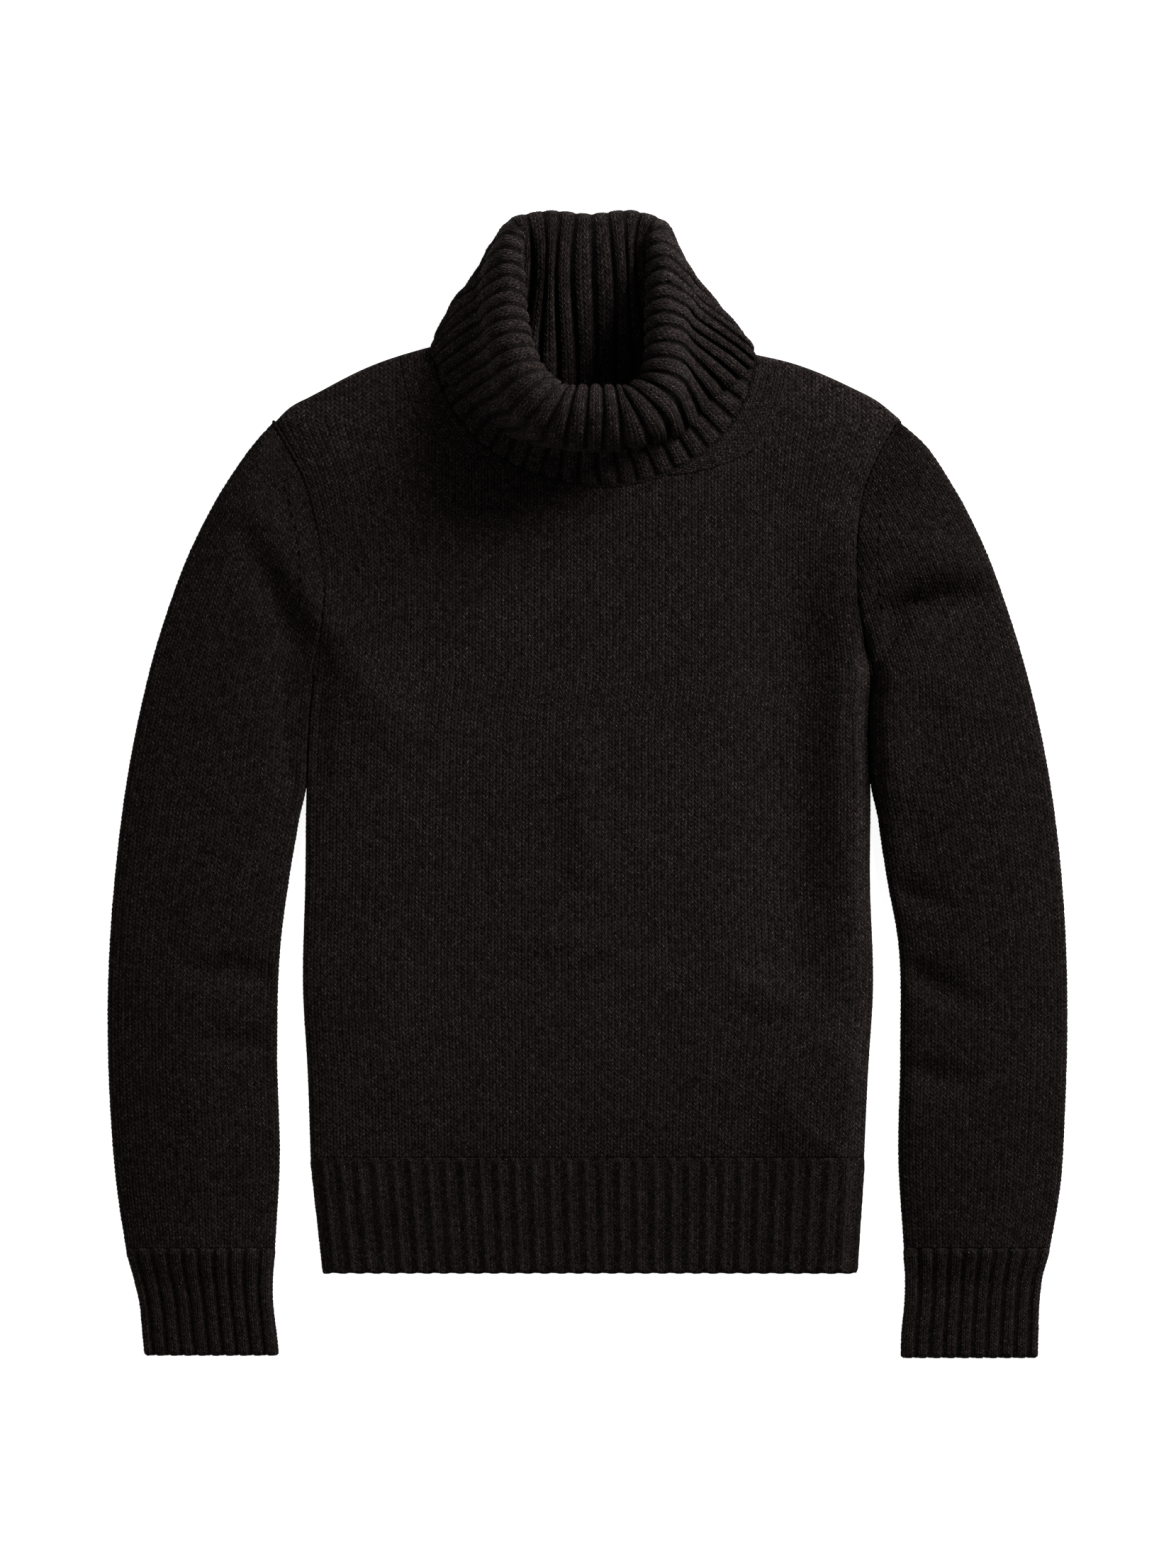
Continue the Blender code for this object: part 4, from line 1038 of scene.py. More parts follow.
def knitSleeve(side):
    count = sleeve["wales"]
    rows = [(wale, noRib, wale / count, kind) for wale, kind in plainRows(count)[:-1]]
    coarse = [(k, noRib, k / count, "coarse") for k in range(0, count, knit["coarseWales"])]

    def pointsOf(share, y, last, layer):
        return sleevePoints(side, share, y, last, layer)

    def fadeOf(y, last):
        fade = smoothStep((last - y) / sleeve["topFade"])
        fade[0] = body["joinFade"]
        return fade

    def lastOf(share):
        return sleeveTop(side, share)

    return knitTube("sleeveKnit_" + side, rows, coarse, sleeve["joinY"], lastOf, knit["course"],
                    pointsOf, fadeOf)


def knitCuff(side):
    first, top = cuff["endY"][side], sleeve["joinY"]
    endFade, endRun = cuff["endFade"]

    def pointsOf(share, y, last, layer):
        outer, inner = cuffEdges(y, side)
        half = 0.5 * knit["cloth"] * roundedEdge(y - first + cuff["endStart"], cuff["endRadius"])
        middle = (sleeve["slit"] + knit["cloth"]) / 2
        x, z, rise = tubePlace(share, outer, inner, middle + (half if layer == "face" else -half))
        edge = np.minimum(np.abs(x - outer), np.abs(inner - x))
        loft = cuff["loft"] + (sleeve["loft"] - cuff["loft"]) * smoothStep(1 - (top - y) / cuff["settle"])
        z = z + rise * loft * (1 - np.exp(-edge / body["loftRun"]))
        return np.stack([x, y, np.maximum(z, sleeve["floorClear"]) if layer == "face" else z], -1)

    def fadeOf(y, last):
        return joinFade(top - y, cuff["join"]) * smoothStep(endFade + (y - first) / endRun)

    rows = ribbedColumns(cuff["ribs"], True)
    coarse = [(4 * k, noRib, k / cuff["ribs"], "coarse") for k in range(cuff["ribs"])]
    return knitTube("cuffKnit_" + side, rows, coarse, first, lambda share: top, knit["ribCourse"],
                    pointsOf, fadeOf)


# Collar: a ribbed tube that stands up from the neck, rolls over and ends on the shoulders

collar = {
    "ribs": 42,
    "courses": 58,
    "hiddenCourses": 17,         # courses at its foot whose outer side shows below the turned part
    "footRelief": 0.65,          # the ribs below the turned part are lower than the rest
    "standLeave": (0.42, 4.9),   # the stand leaves the seam almost level: handle, and its rise
    "standPart": 1.7,            # the front layer rises by this more than the back layer
    "standArrive": 0.4,
    "standDip": 0.75,
    "rollHandle": 0.55,
    "flapLeave": 0.3,
    "flapSpread": (0.55, 0.85),  # how straight the turned part runs out, for these leans of the roll
    "spreadLean": (4.0, 30.0),
    "flapArrive": 0.35,
    "flapBow": (12.5, 4.5),      # it bows out where the roll leans, on the left and on the right
    "bowLean": (8.0, 26.0, 55.0, 75.0),  # the bow grows between the first two leans and goes again
    "bowEnd": 0.25,              # share of the bow that is left towards the free edge
    "seamInset": 0.6,
    "cornerInset": 2.0,          # the seam's fold at the shoulder keeps clear of the panels
    "cornerRun": 9.0,
    "foldRun": 2.0,
    "foldRise": 0.8,
    "loopSteps": 64,             # points of the seam line on half a turn
    "partSteps": 14,             # points on each of a section's four curves
    "foldClear": (8.0, 24.0),    # the ribs fade beside the shoulder fold
    "endRadius": 1.8,
    "archReach": 14.0,           # the roll's ribs arch, because they run square to its rising crest
    "pinch": (20.0, 45.0, 0.75),  # the ribs sink where the roll leans back: lean, range and share
    "pinchCourses": 7.0,
    "slant": (5.0, 30.0, 0.6),   # the ribs slant forwards where the roll leans: lean, range and share
    "slantFade": (60.0, 25.0),   # they stand straight again past this lean, over this range
    "slantReach": 16.0,
    "steepEnough": 0.15,         # the crest has to rise this steeply for the full slant
    "endRun": 0.35,              # arch and slant run out over this share of the depth at both ends
    "creaseFrom": 0.64,          # the crease beside the roll is softened from this share of the depth
    "creaseSoftening": 3,
    "edgeSwell": 1.4,            # the rib ends stand out at the cast-off edge
    "edgeUneven": 1.3,
    "edgeCourses": 5,
    "edgeReach": 5,              # half courses over which the way to the edge is read
    "edgeLean": (50.0, 25.0),    # but not past this lean, fading over this range
    "edgeFade": (0.25, 1.2),     # relief at both edges, and the courses over which it grows
    "wall": 0.25,                # share of the wall left at its two edges
    "ribWander": 0.55,
    "wanderRun": 6.0,            # courses over which the ribs start to wander
    "wanderWaves": ((0.6, 1.7, 0.21), (0.4, 2.9, -0.13)),  # share, radians per rib and per course
    "foot": (6.0, 8.0),          # the foot ends at this course, over this many
    "footCourses": 20,
    "frontFoot": 0.5,            # relief at the very foot, at the front
    "hiddenStep": 3,             # courses between two points where the hidden side can't be seen
    "seed": 5,
}

# A row for each section round the neck, from the centre back by way of the left side: the crest of the
# roll, its lean, the bulges beside it with their drop below it, and the free edge of the turned part
collarSections = {
    "crestX":      [1.6, -31.5, -49.5, -55.0, -56.2, -54.3, -49.1, -40.2, -22.8, 4.5, 30.3, 46.8, 51.5,
                    52.4, 52.9, 52.0, 47.5, 33.5],
    "crestY":      [376.2, 377.8, 371.8, 356.0, 331.6, 308.1, 284.6, 263.4, 247.0, 242.3, 246.0, 262.0,
                    284.6, 308.1, 331.6, 355.5, 371.8, 377.8],
    "crestZ":      [9.5, 9.8, 13.5, 22.0, 33.0, 45.0, 54.0, 61.0, 67.0, 70.0, 69.0, 65.0, 59.0, 50.0, 38.0,
                    25.0, 14.5, 9.8],
    "lean":        [90.0, 88.0, 62.0, 40.0, 22.0, 10.0, 4.0, 0.0, 0.0, 0.0, 0.0, 0.0, 4.0, 10.0, 22.0, 40.0,
                    62.0, 88.0],
    "inside":      [4.0, 4.0, 7.0, 11.4, 13.3, 13.0, 12.8, 15.0, 16.5, 18.4, 16.5, 12.5, 11.8, 12.2, 12.2,
                    11.4, 7.0, 4.0],
    "insideDrop":  [-5.5, -5.5, -3.0, 3.0, 9.0, 11.0, 13.0, 15.0, 16.0, 16.0, 16.0, 15.0, 13.0, 11.0, 9.0,
                    3.0, -3.0, -5.5],
    "outside":     [-4.0, -4.0, 1.0, 8.4, 14.0, 13.5, 15.5, 18.5, 20.5, 20.5, 19.0, 15.0, 13.0, 13.5, 16.5,
                    11.5, 1.5, -4.0],
    "outsideDrop": [5.5, 5.7, 9.0, 12.5, 12.5, 15.0, 17.0, 18.0, 17.0, 16.0, 17.0, 18.0, 17.0, 15.0, 12.5,
                    12.5, 9.0, 5.7],
    "edgeX":       [1.6, -36.0, -66.0, -90.0, -101.0, -99.5, -86.2, -68.4, -43.9, 4.5, 40.7, 66.5, 84.4,
                    105.5, 109.8, 91.5, 69.0, 36.0],
    "edgeY":       [308.0, 307.0, 304.5, 302.0, 290.5, 277.0, 262.0, 247.0, 229.6, 222.5, 226.0, 235.2,
                    256.4, 272.0, 286.2, 301.5, 304.5, 307.0],
    "edgeZ":       [1.6, 1.6, 1.8, 4.0, 9.0, 12.5, 14.5, 17.0, 20.0, 22.0, 21.0, 18.5, 16.0, 13.0, 9.0,
                    4.0, 1.8, 1.6],
}


def closedSpline(values, marks, at):
    values = np.asarray(values, float)
    wrapped = np.concatenate([values[-3:], values, values[:3]])
    places = np.concatenate([marks[-3:] - 1, marks, marks[:3] + 1])
    return smoothCurve(places, wrapped, np.asarray(at, float))


def neckLoop():
    # seam line of the collar, from the centre back by way of the left side
    middle, half, _ends, levels = neckFrame()
    level = sum(levels) / 2
    angles = np.linspace(0, math.pi, collar["loopSteps"] + 1)
    halfWay = collar["loopSteps"] // 2
    backDepth, frontDepth = body["neckDepthBack"], body["neckDepthFront"]
    loop = [(angle, backDepth) for angle in angles[halfWay:0:-1]]
    loop += [(angle, frontDepth) for angle in angles]
    loop += [(angle, backDepth) for angle in angles[:halfWay - 1:-1][1:]]
    points = []
    for angle, depth in loop:
        x = middle - half * math.cos(angle)
        below, onFront = abs(math.sin(angle)) * depth, float(depth == frontDepth)
        fold = 1 - smoothStep(below / collar["cornerRun"])
        raised = collar["foldRise"] * (1 - smoothStep(below / (2 * collar["cornerRun"])))
        y = float(neckY(x, depth))
        frontZ = float(frontUnderside(np.array([x]), np.array([y - body["neckProbe"]]))[0]) + raised
        layer = smoothStep(0.5 + (onFront - 0.5) * min(below / collar["foldRun"], 1.0))
        z = knit["cloth"] / 2 + layer * frontZ
        towards = np.array([middle - x, level - y])
        towards /= np.linalg.norm(towards)
        x, y = np.array([x, y]) + towards * (collar["seamInset"] + collar["cornerInset"] * fold)
        points.append((x, y, z))
    return points


def bezier(a, b, c, d, t):
    t = np.asarray(t)[:, None]
    return (1 - t) ** 3 * a + 3 * (1 - t) ** 2 * t * b + 3 * (1 - t) * t**2 * c + t**3 * d


def collarGuides(shares):
    crest = np.stack([collarSections["crestX"], collarSections["crestY"], collarSections["crestZ"]], -1)
    steps = np.linalg.norm(np.roll(crest, -1, axis=0) - crest, axis=1)
    marks = np.concatenate([[0.0], np.cumsum(steps)[:-1]]) / steps.sum()
    read = {key: closedSpline(column, marks, shares) for key, column in collarSections.items()}
    nudge = 0.004  # share of the way round between which the crest's direction is read
    aroundX, aroundY, aroundZ = [
        closedSpline(column, marks, shares + nudge) - closedSpline(column, marks, shares - nudge)
        for column in crest.T]
    length = np.hypot(aroundX, aroundY)
    out = np.stack([aroundY / length, -aroundX / length, 0 * length], -1)
    up = np.array([0.0, 0.0, 1.0])
    lean = np.radians(read["lean"])[:, None]
    top = np.stack([read["crestX"], read["crestY"], read["crestZ"]], -1)
    return {
        "seam": alongLine(neckLoop(), shares),
        "inner": top - out * read["inside"][:, None] - up * read["insideDrop"][:, None],
        "top": top,
        "outer": top + out * read["outside"][:, None] - up * read["outsideDrop"][:, None],
        "edge": np.stack([read["edgeX"], read["edgeY"], read["edgeZ"]], -1),
        "apex": np.cos(lean) * up + np.sin(lean) * out,
        "reach": np.cos(lean) * out - np.sin(lean) * up,
        "lean": read["lean"],
        "rising": aroundZ / length,
        "out": out,
        "ahead": np.stack([aroundX / length, aroundY / length], -1),
    }


def collarSection(seam, inner, top, outer, edge, apex, reach, lean, steps):
    # middle line of the wall from the seam over the roll to the free edge
    inward = (inner - seam) * np.array([1.0, 1.0, 0.0])
    rise = collar["standLeave"][1] + collar["standPart"] * (seam[2] > knit["cloth"])
    leave = seam + collar["standLeave"][0] * inward + np.array([0.0, 0.0, rise])
    steep = collar["standDip"] * max(inner[2] - leave[2], 1.0) / max(apex[2], 0.01)
    arrive = inner - apex * min(collar["standArrive"] * abs(np.dot(inner - seam, apex)), steep)
    handle = collar["rollHandle"]
    riseIn = apex * handle * abs(np.dot(top - inner, apex))
    overIn = reach * handle * abs(np.dot(top - inner, reach))
    overOut = reach * handle * abs(np.dot(outer - top, reach))
    fallOut = apex * handle * abs(np.dot(top - outer, apex))
    flap = edge - outer
    spread = np.interp(lean, collar["spreadLean"], collar["flapSpread"])
    across = reach * np.array([1.0, 1.0, 0.0]) / max(np.hypot(*reach[:2]), 0.2)
    bow = collar["flapBow"][int(top[0] > 0)] * np.interp(lean, collar["bowLean"], (0.0, 1.0, 1.0, 0.0))
    bow = across * bow
    hang = outer + collar["flapLeave"] * (spread * flap - (1 - spread) * apex * np.linalg.norm(flap)) + bow
    hang[2] = max(hang[2], knit["cloth"] / 2)
    land = edge - collar["flapArrive"] * flap + collar["bowEnd"] * bow
    parts = [
        (seam, leave, arrive, inner),
        (inner, inner + riseIn, top - overIn, top),
        (top, top + overOut, outer + fallOut, outer),
        (outer, hang, land, edge),
    ]
    t = np.linspace(0, 1, steps)
    return np.concatenate([bezier(*part, t[:-1] if part is not parts[-1] else t) for part in parts])


def collarSheet(shares):
    # middle surface at every half course, with its normals and its tightness at the shoulder folds
    guides = collarGuides(shares)
    keys = ("seam", "inner", "top", "outer", "edge", "apex", "reach", "lean")
    steps = collar["partSteps"]
    dense = np.stack([collarSection(*(guides[key][i] for key in keys), steps=steps)
                      for i in range(len(shares))])
    count = 2 * collar["courses"] + 1
    even = np.linspace(0, 1, count)
    grid = np.stack([alongLine(section, even) for section in dense])
    runs = np.linalg.norm(np.diff(dense, axis=1), axis=2)
    guides["crestShare"] = runs[:, :2 * (steps - 1)].sum(axis=1) / runs.sum(axis=1)
    below = np.clip(guides["top"][:, None, 2] - grid[:, :, 2], 0, collar["archReach"])
    weight = smoothStep(even / collar["endRun"]) * smoothStep((1 - even) / collar["endRun"])
    slide = guides["rising"][:, None] * below * weight
    leanFrom, leanRange, slantShare = collar["slant"]
    lean, (fadeFrom, fadeRange) = guides["lean"], collar["slantFade"]
    slant = slantShare * smoothStep((lean - leanFrom) / leanRange)
    slant = slant * (1 - smoothStep((lean - fadeFrom) / fadeRange))
    slant = slant * np.tanh(guides["rising"] / collar["steepEnough"])
    outwards = np.einsum("ijk,ik->ij", grid - guides["top"][:, None], guides["out"])
    slide += slant[:, None] * np.clip(outwards, 0, collar["slantReach"]) * weight
    grid[:, :, :2] += guides["ahead"][:, None, :] * slide[:, :, None]
    flapStart = int(collar["creaseFrom"] * count)
    for _ in range(collar["creaseSoftening"]):
        part = grid[:, flapStart:]
        part[:, 1:-1] = 0.25 * part[:, :-2] + 0.5 * part[:, 1:-1] + 0.25 * part[:, 2:]
    around = np.roll(grid, -1, axis=0) - np.roll(grid, 1, axis=0)
    normal = np.cross(np.gradient(grid, axis=1), around)
    normal /= np.linalg.norm(normal, axis=2)[:, :, None]
    corners = [np.hypot(*(guides["seam"][:, :2] - p).T) for p in (body["neckLeft"], body["neckRight"])]
    low, high = collar["foldClear"]
    clear = smoothStep((np.minimum(*corners) - low) / (high - low))
    lengths = np.linalg.norm(np.diff(grid, axis=1), axis=2).sum(axis=1)
    return grid, normal, clear, guides, lengths


def knitCollar():
    cloth = newCloth()
    last, shown = collar["courses"], collar["hiddenCourses"]
    pinchFrom, pinchRange, pinchShare = collar["pinch"]
    edgeFade, edgeRun = collar["edgeFade"]
    edgeLean, edgeRange = collar["edgeLean"]
    footFrom, footRange = collar["foot"]
    frontFoot = collar["frontFoot"]
    uneven = np.random.default_rng(collar["seed"]).normal(0, collar["edgeUneven"] / 2, collar["ribs"])
    made = []
    for layer, turn in (("face", 1), ("hidden", -1)):
        rows = ribbedColumns(collar["ribs"], True, collarRib["knitted"])
        if layer == "hidden":
            # a rib on one side of the cloth is a gutter on the other
            halfRib = 0.5 / collar["ribs"]
            rows = [(wale, place, (share + halfRib) % 1.0, kind) for wale, place, share, kind in rows]
            rows.sort(key=lambda row: row[2])
        shares = np.array([row[2] for row in rows])
        grid, normal, clear, guides, lengths = collarSheet(shares)
        if layer == "face":
            print("collar depth", round(float(lengths.min())), "to", round(float(lengths.max())), "mm")
        onFront = guides["seam"][:, 2] > knit["cloth"]
        halves = np.linspace(0, last, grid.shape[1])
        pinch = pinchShare * smoothStep((guides["lean"] - pinchFrom) / pinchRange)
        columns = []
        for i, (wale, place, _share, kind) in enumerate(rows):
            marks = courseMarks(kind, 0.0, last)
            if layer == "hidden":
                step = collar["hiddenStep"]
                unseen = np.arange(shown + step, last - step + 1, float(step))
                marks = np.concatenate([marks[marks <= shown], unseen, [last]])
            fromEdge = np.minimum(marks, last - marks)
            full = roundedEdge(fromEdge * knit["ribCourse"] + hem["endStart"], collar["endRadius"])
            full = collar["wall"] + (1 - collar["wall"]) * full
            centre = np.stack([np.interp(marks, halves, grid[i, :, k]) for k in range(3)], -1)
            outward = np.stack([np.interp(marks, halves, normal[i, :, k]) for k in range(3)], -1)
            points = centre + turn * outward * (knit["cloth"] / 2 * full)[:, None]
            outwards = grid[i, -1] - grid[i, -1 - collar["edgeReach"]]
            outwards /= np.linalg.norm(outwards)
            swell = collar["edgeSwell"] * (ribFlat(place, collarRib) - 0.5)
            swell += uneven[int(wale // 4) % collar["ribs"]]
            atEdge = smoothStep((marks - (last - collar["edgeCourses"])) / collar["edgeCourses"])
            atEdge = atEdge * (1 - smoothStep((guides["lean"][i] - edgeLean) / edgeRange))
            points += outwards * (swell * atEdge)[:, None]
            turnOf = wale / 4 + place
            wander = sum(part * np.sin(perRib * turnOf + perCourse * marks)
                         for part, perRib, perCourse in collar["wanderWaves"])
            wander = collar["ribWander"] * wander * smoothStep(fromEdge / collar["wanderRun"])
            points[:, :2] += guides["ahead"][i] * wander[:, None]
            foot = smoothStep((marks - footFrom) / footRange)
            squeeze = clear[i] + (1 - clear[i]) * foot
            if layer == "face":
                atFoot = squeeze * (frontFoot + (1 - frontFoot) * foot if onFront[i] else 1.0)
                fade = np.where(marks < collar["footCourses"], atFoot, 1.0)
                fromCrest = (marks - guides["crestShare"][i] * last) / collar["pinchCourses"]
                fade = fade * (1 - pinch[i] * np.exp(-fromCrest**2))
            else:
                fade = np.where(marks < shown, collar["footRelief"] * clear[i] * onFront[i], 0.0)
            fade = fade * smoothStep(fromEdge / edgeRun + edgeFade)
            points[:, 2] = np.maximum(points[:, 2], 0.0)
            columns.append(addColumn(cloth, points, wale, marks, place, fade))
        lap = dict(columns[0], wale=4 * collar["ribs"])
        zipSheet(cloth, columns + [lap])
        made.append((columns, list(shares)))
    for at in (0, -1):
        zipRings(cloth, *[endRing(columns, shares, at) for columns, shares in made])
    return clothObject("collarKnit", cloth)


# Linking seams: a chain of yarn lies in the groove where two pieces meet

fashioning = {
    "from": 118.0,               # lowest mark
    "to": 196.0,                 # highest mark
    "inset": 15.0,               # from the armhole
    "raised": 0.1,
    "pitch": 8.7,
    "width": 2.2,
    "slim": 0.55,                # length of a mark against their pitch
    "points": 40,
    "smoothing": 5,              # points over which the height of the cloth is evened out
}

neckSeam = {
    "outside": 0.1,              # from the neckline
    "height": 2.3,               # above the panel's inner side
    "reach": 86.0,               # degrees from the neckline's lowest point to both ends
    "points": 120,
}

armholeSeam = {
    "heights": {"Upper": (6.1, 2.6), "Under": (1.7, 0.0)},  # and how much higher along its middle
    "start": -2.0,               # from the underarm
    "end": -1.0,                 # from the top of the armhole
    "points": 60,
}

chain = {
    "Link length": 2.4 * mm,
    "Link width": 2.8 * mm,
    "Link share": 1.7,           # length of a link against its pitch
    "Swing": 0.25 * mm,
}


def chainTree():
    tree, given = newTree("linkingChain", chain)
    line = addNode(tree, "GeometryNodeMeshToCurve", {"Mesh": given["Geometry"]})
    dots = addNode(tree, "GeometryNodeCurveToPoints", {
        "Curve": line.outputs[0], "Length": given["Link length"]}, mode="LENGTH")
    link = addNode(tree, "GeometryNodeMeshUVSphere", {"Segments": 8, "Rings": 5, "Radius": 0.5})
    turn = addNode(tree, "FunctionNodeAlignRotationToVector", {"Vector": dots.outputs["Tangent"]},
                   axis="Z")
    size = addNode(tree, "ShaderNodeCombineXYZ", {
        0: given["Link width"], 1: given["Link width"],
        2: maths(tree, "MULTIPLY", given["Link length"], given["Link share"])}).outputs[0]
    number = addNode(tree, "GeometryNodeInputIndex").outputs[0]
    toAndFro = maths(tree, "COSINE", maths(tree, "MULTIPLY", number, math.pi))
    aside = scaled(tree, dots.outputs["Normal"], maths(tree, "MULTIPLY", toAndFro, given["Swing"]))
    swung = addNode(tree, "GeometryNodeSetPosition", {
        "Geometry": dots.outputs["Points"], "Offset": aside})
    links = addNode(tree, "GeometryNodeInstanceOnPoints", {
        "Points": swung.outputs[0], "Instance": link.outputs[0],
        "Rotation": turn.outputs[0], "Scale": size})
    finishTree(tree, links.outputs[0], given["Yarn"])
    return tree


def lineObject(name, points):
    mesh = bpy.data.meshes.new(name)
    edges = [(k, k + 1) for k in range(len(points) - 1)]
    mesh.from_pydata((np.asarray(points) * mm).tolist(), edges, [])
    piece = bpy.data.objects.new(name, mesh)
    bpy.context.scene.collection.objects.link(piece)
    return piece


def armholeLine(side, height, eased):
    low, high = body["underarmY"] + armholeSeam["start"], sideOutline["y"][-1] + armholeSeam["end"]
    y = np.linspace(low, high, armholeSeam["points"])
    x = (sideX(y, side) + armholeX(y, side)) / 2
    return np.stack([x, y, height + eased * seamEase(y)], -1)


def neckLine():
    angles = np.linspace(-neckSeam["reach"], neckSeam["reach"], neckSeam["points"])
    x, y = bandPlace(np.sign(angles), neckSeam["outside"], np.abs(angles))
    return np.stack([x, y, frontUnderside(x, y - body["neckProbe"]) + neckSeam["height"]], -1)


def fashioningLine(side, piece):
    # the marks of the narrowed stitches, a few wales in from the armhole
    y = np.linspace(fashioning["from"], fashioning["to"], fashioning["points"])
    x = armholeX(y, side) + fashioning["inset"] * outwardOf(side)
    cloth = BVHTree.FromObject(piece, bpy.context.evaluated_depsgraph_get())
    above, down = 0.2, Vector((0.0, 0.0, -1.0))
    z = [cloth.ray_cast(Vector((a * mm, b * mm, above)), down)[0].z / mm for a, b in zip(x, y)]
    run = fashioning["smoothing"]
    z = np.convolve(np.pad(z, run // 2, mode="edge"), np.full(run, 1 / run), "valid")
    return np.stack([x, y, z + fashioning["raised"]], -1)


# Everything is knitted, dyed and put on its body

# the sleeves' yarn is a darker copy as painted shade, the collar's a lighter copy as painted light; the
# bands get paler painted shade in their gutters
yarnChanges = {"": {}, "SleeveShaded": {"tone": 0.70}, "CollarLit": {"tone": 1.02}, "Band": {"paintedGutterShade": 0.28}}
yarn, shadedSleeveYarn, litCollarYarn, bandYarn = [
    yarnMaterial("charcoalHeather" + use, dict(yarnLook, **change)) for use, change in yarnChanges.items()]
relief = knitReliefTree()
plain = {"Rib height": 0.0, "Gutter depth": 0.0}
lowRibs = {"Rib height": 0.85 * mm, "Gutter depth": 0.6 * mm}
roundRibs = {"Rib centre": collarRib["knitted"] / 2, "Rib half width": collarRib["half"],
             "Rib roundness": collarRib["roundness"], "Rib height": 1.5 * mm, "Gutter depth": 1.3 * mm}

frontKnit = raiseStitches(knitPanel("frontKnit", body["neckDepthFront"]), relief, yarn, Seed=3.0, **plain)
backKnit = raiseStitches(knitPanel("backKnit", body["neckDepthBack"]), relief, yarn, Seed=4.0, **plain)
hemFront = raiseStitches(knitHem("hemFrontRib", True), relief, bandYarn, Seed=5.0, **lowRibs)
hemBack = raiseStitches(knitHem("hemBackRib", False), relief, bandYarn, Seed=6.0, **lowRibs)
sleeves, cuffs = {}, {}
for number, side in enumerate(("left", "right")):
    sleeves[side] = raiseStitches(knitSleeve(side), relief, shadedSleeveYarn, Seed=7.0 + number, **plain)
    cuffs[side] = raiseStitches(knitCuff(side), relief, bandYarn, Seed=9.0 + number, **lowRibs)
collarKnit = raiseStitches(knitCollar(), relief, litCollarYarn, Seed=11.0, **roundRibs)

linking = chainTree()
markSizes = {"Link length": fashioning["pitch"] * mm, "Link width": fashioning["width"] * mm,
             "Link share": fashioning["slim"]}
lines = [("armholeSeam" + layer + "_" + side, armholeLine(side, *heights), {})
         for side in ("left", "right") for layer, heights in armholeSeam["heights"].items()]
lines.append(("neckSeam", neckLine(), {}))
lines += [("fashioning_" + side, fashioningLine(side, sleeves[side]), markSizes)
          for side in ("left", "right")]
# the chains carry no knit map, so the yarn paints them dark as in its grooves: painted shade along the
# seams and the fashioning marks
for name, points, sizes in lines:
    seam = raiseStitches(lineObject(name, points), linking, yarn, **sizes)
    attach(seam, "root")

placed = (
    (frontKnit, "front", "plain_knit"), (backKnit, "back", "plain_knit"),
    (hemFront, "hem_front", "rib_knit"), (hemBack, "hem_back", "rib_knit"),
    (sleeves["left"], "sleeve_left", "plain_knit"), (sleeves["right"], "sleeve_right", "plain_knit"),
    (cuffs["left"], "cuff_left", "rib_knit"), (cuffs["right"], "cuff_right", "rib_knit"),
    (collarKnit, "collar", "rib_knit"),
)
for piece, node, slot in placed:
    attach(piece, "root")
    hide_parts(node)


# Floor, light and camera

studio = {
    "floor": (0.86, 0.86, 0.86, 1.0),
    "floorRoughness": 0.9,
    "floorGlow": (1.0, 1.0, 1.0, 1.0),
    "floorGlowStrength": 0.9,
    "world": (1.0, 1.0, 1.0, 1.0),
    "worldStrength": 0.055,
    "lights": (                  # name, place and size in metres, power
        ("keyLight", (1.80, 1.74, 1.01), 1.3, 116.0),
        ("topLight", (0.3, 2.1, 1.5), 1.6, 4.0),
        ("fillLight", (-1.8, -0.9, 1.2), 1.6, 12.0),
    ),
    "floorSize": 12.0,
    "floorDrop": 0.2 * mm,
    "pixel": 0.47 * mm,          # size of a pixel of the finished picture, at the cloth
    "pictureHeight": 2212,
    "centre": (0.47 * mm, -0.235 * mm, 5 * mm),
    "lens": 300.0,
    "sensor": 36.0,
    "clip": (0.1, 100.0),
}


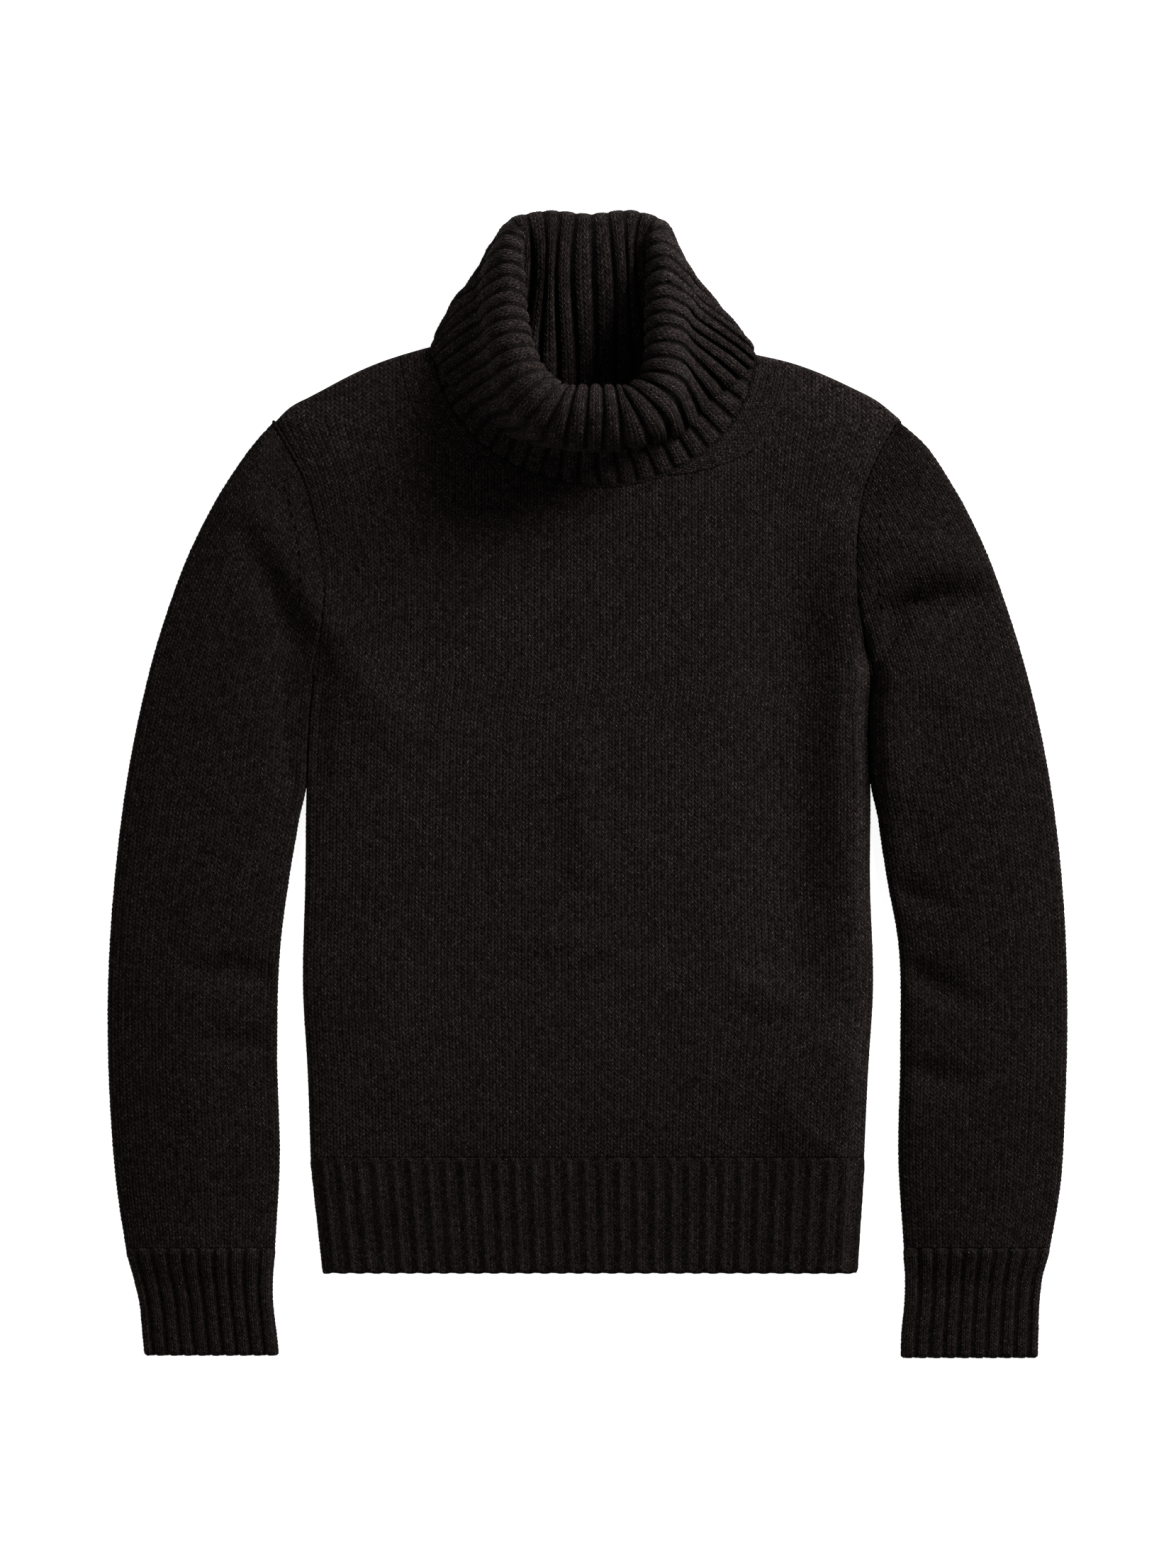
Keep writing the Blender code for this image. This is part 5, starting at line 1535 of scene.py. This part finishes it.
def floorMaterial():
    material = bpy.data.materials.new("paleFloor")
    material.use_nodes = True
    shader = material.node_tree.nodes["Principled BSDF"]
    for socket, key in (("Base Color", "floor"), ("Roughness", "floorRoughness"),
                        ("Emission Color", "floorGlow"), ("Emission Strength", "floorGlowStrength")):
        shader.inputs[socket].default_value = studio[key]
    return material


def areaLight(name, place, size, power):
    light = bpy.data.lights.new(name, "AREA")
    light.shape = "DISK"
    light.size = size
    light.energy = power
    lamp = bpy.data.objects.new(name, light)
    lamp.location = place
    aim = bpy.data.objects.new(name + "Aim", None)
    track = lamp.constraints.new("TRACK_TO")
    track.target = aim
    track.track_axis = "TRACK_NEGATIVE_Z"
    track.up_axis = "UP_Y"
    for made in (lamp, aim):
        bpy.context.scene.collection.objects.link(made)


floorMesh = bpy.data.meshes.new("floor")
half = studio["floorSize"] / 2
corners = [(-half, -half, 0), (half, -half, 0), (half, half, 0), (-half, half, 0)]
floorMesh.from_pydata(corners, [], [(0, 1, 2, 3)])
floor = bpy.data.objects.new("floor", floorMesh)
floor.location.z = -studio["floorDrop"]
floorMesh.materials.append(floorMaterial())
bpy.context.scene.collection.objects.link(floor)

for lamp in studio["lights"]:
    areaLight(*lamp)
world = bpy.data.worlds.new("studio")
world.use_nodes = True
world.node_tree.nodes["Background"].inputs[0].default_value = studio["world"]
world.node_tree.nodes["Background"].inputs[1].default_value = studio["worldStrength"]
bpy.context.scene.world = world

cameraData = bpy.data.cameras.new("camera")
cameraData.lens = studio["lens"]
cameraData.sensor_width = studio["sensor"]
camera = bpy.data.objects.new("camera", cameraData)
distance = studio["lens"] / studio["sensor"] * studio["pictureHeight"] * studio["pixel"]
centreX, centreY, centreZ = studio["centre"]
camera.location = (centreX, centreY, centreZ + distance)
cameraData.clip_start, cameraData.clip_end = studio["clip"]
bpy.context.scene.collection.objects.link(camera)
bpy.context.scene.camera = camera
bpy.context.scene.view_settings.view_transform = "Standard"

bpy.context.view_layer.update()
total = sum(len(piece.data.polygons) for piece, _node, _slot in placed)
print("knitted triangles in all", total)
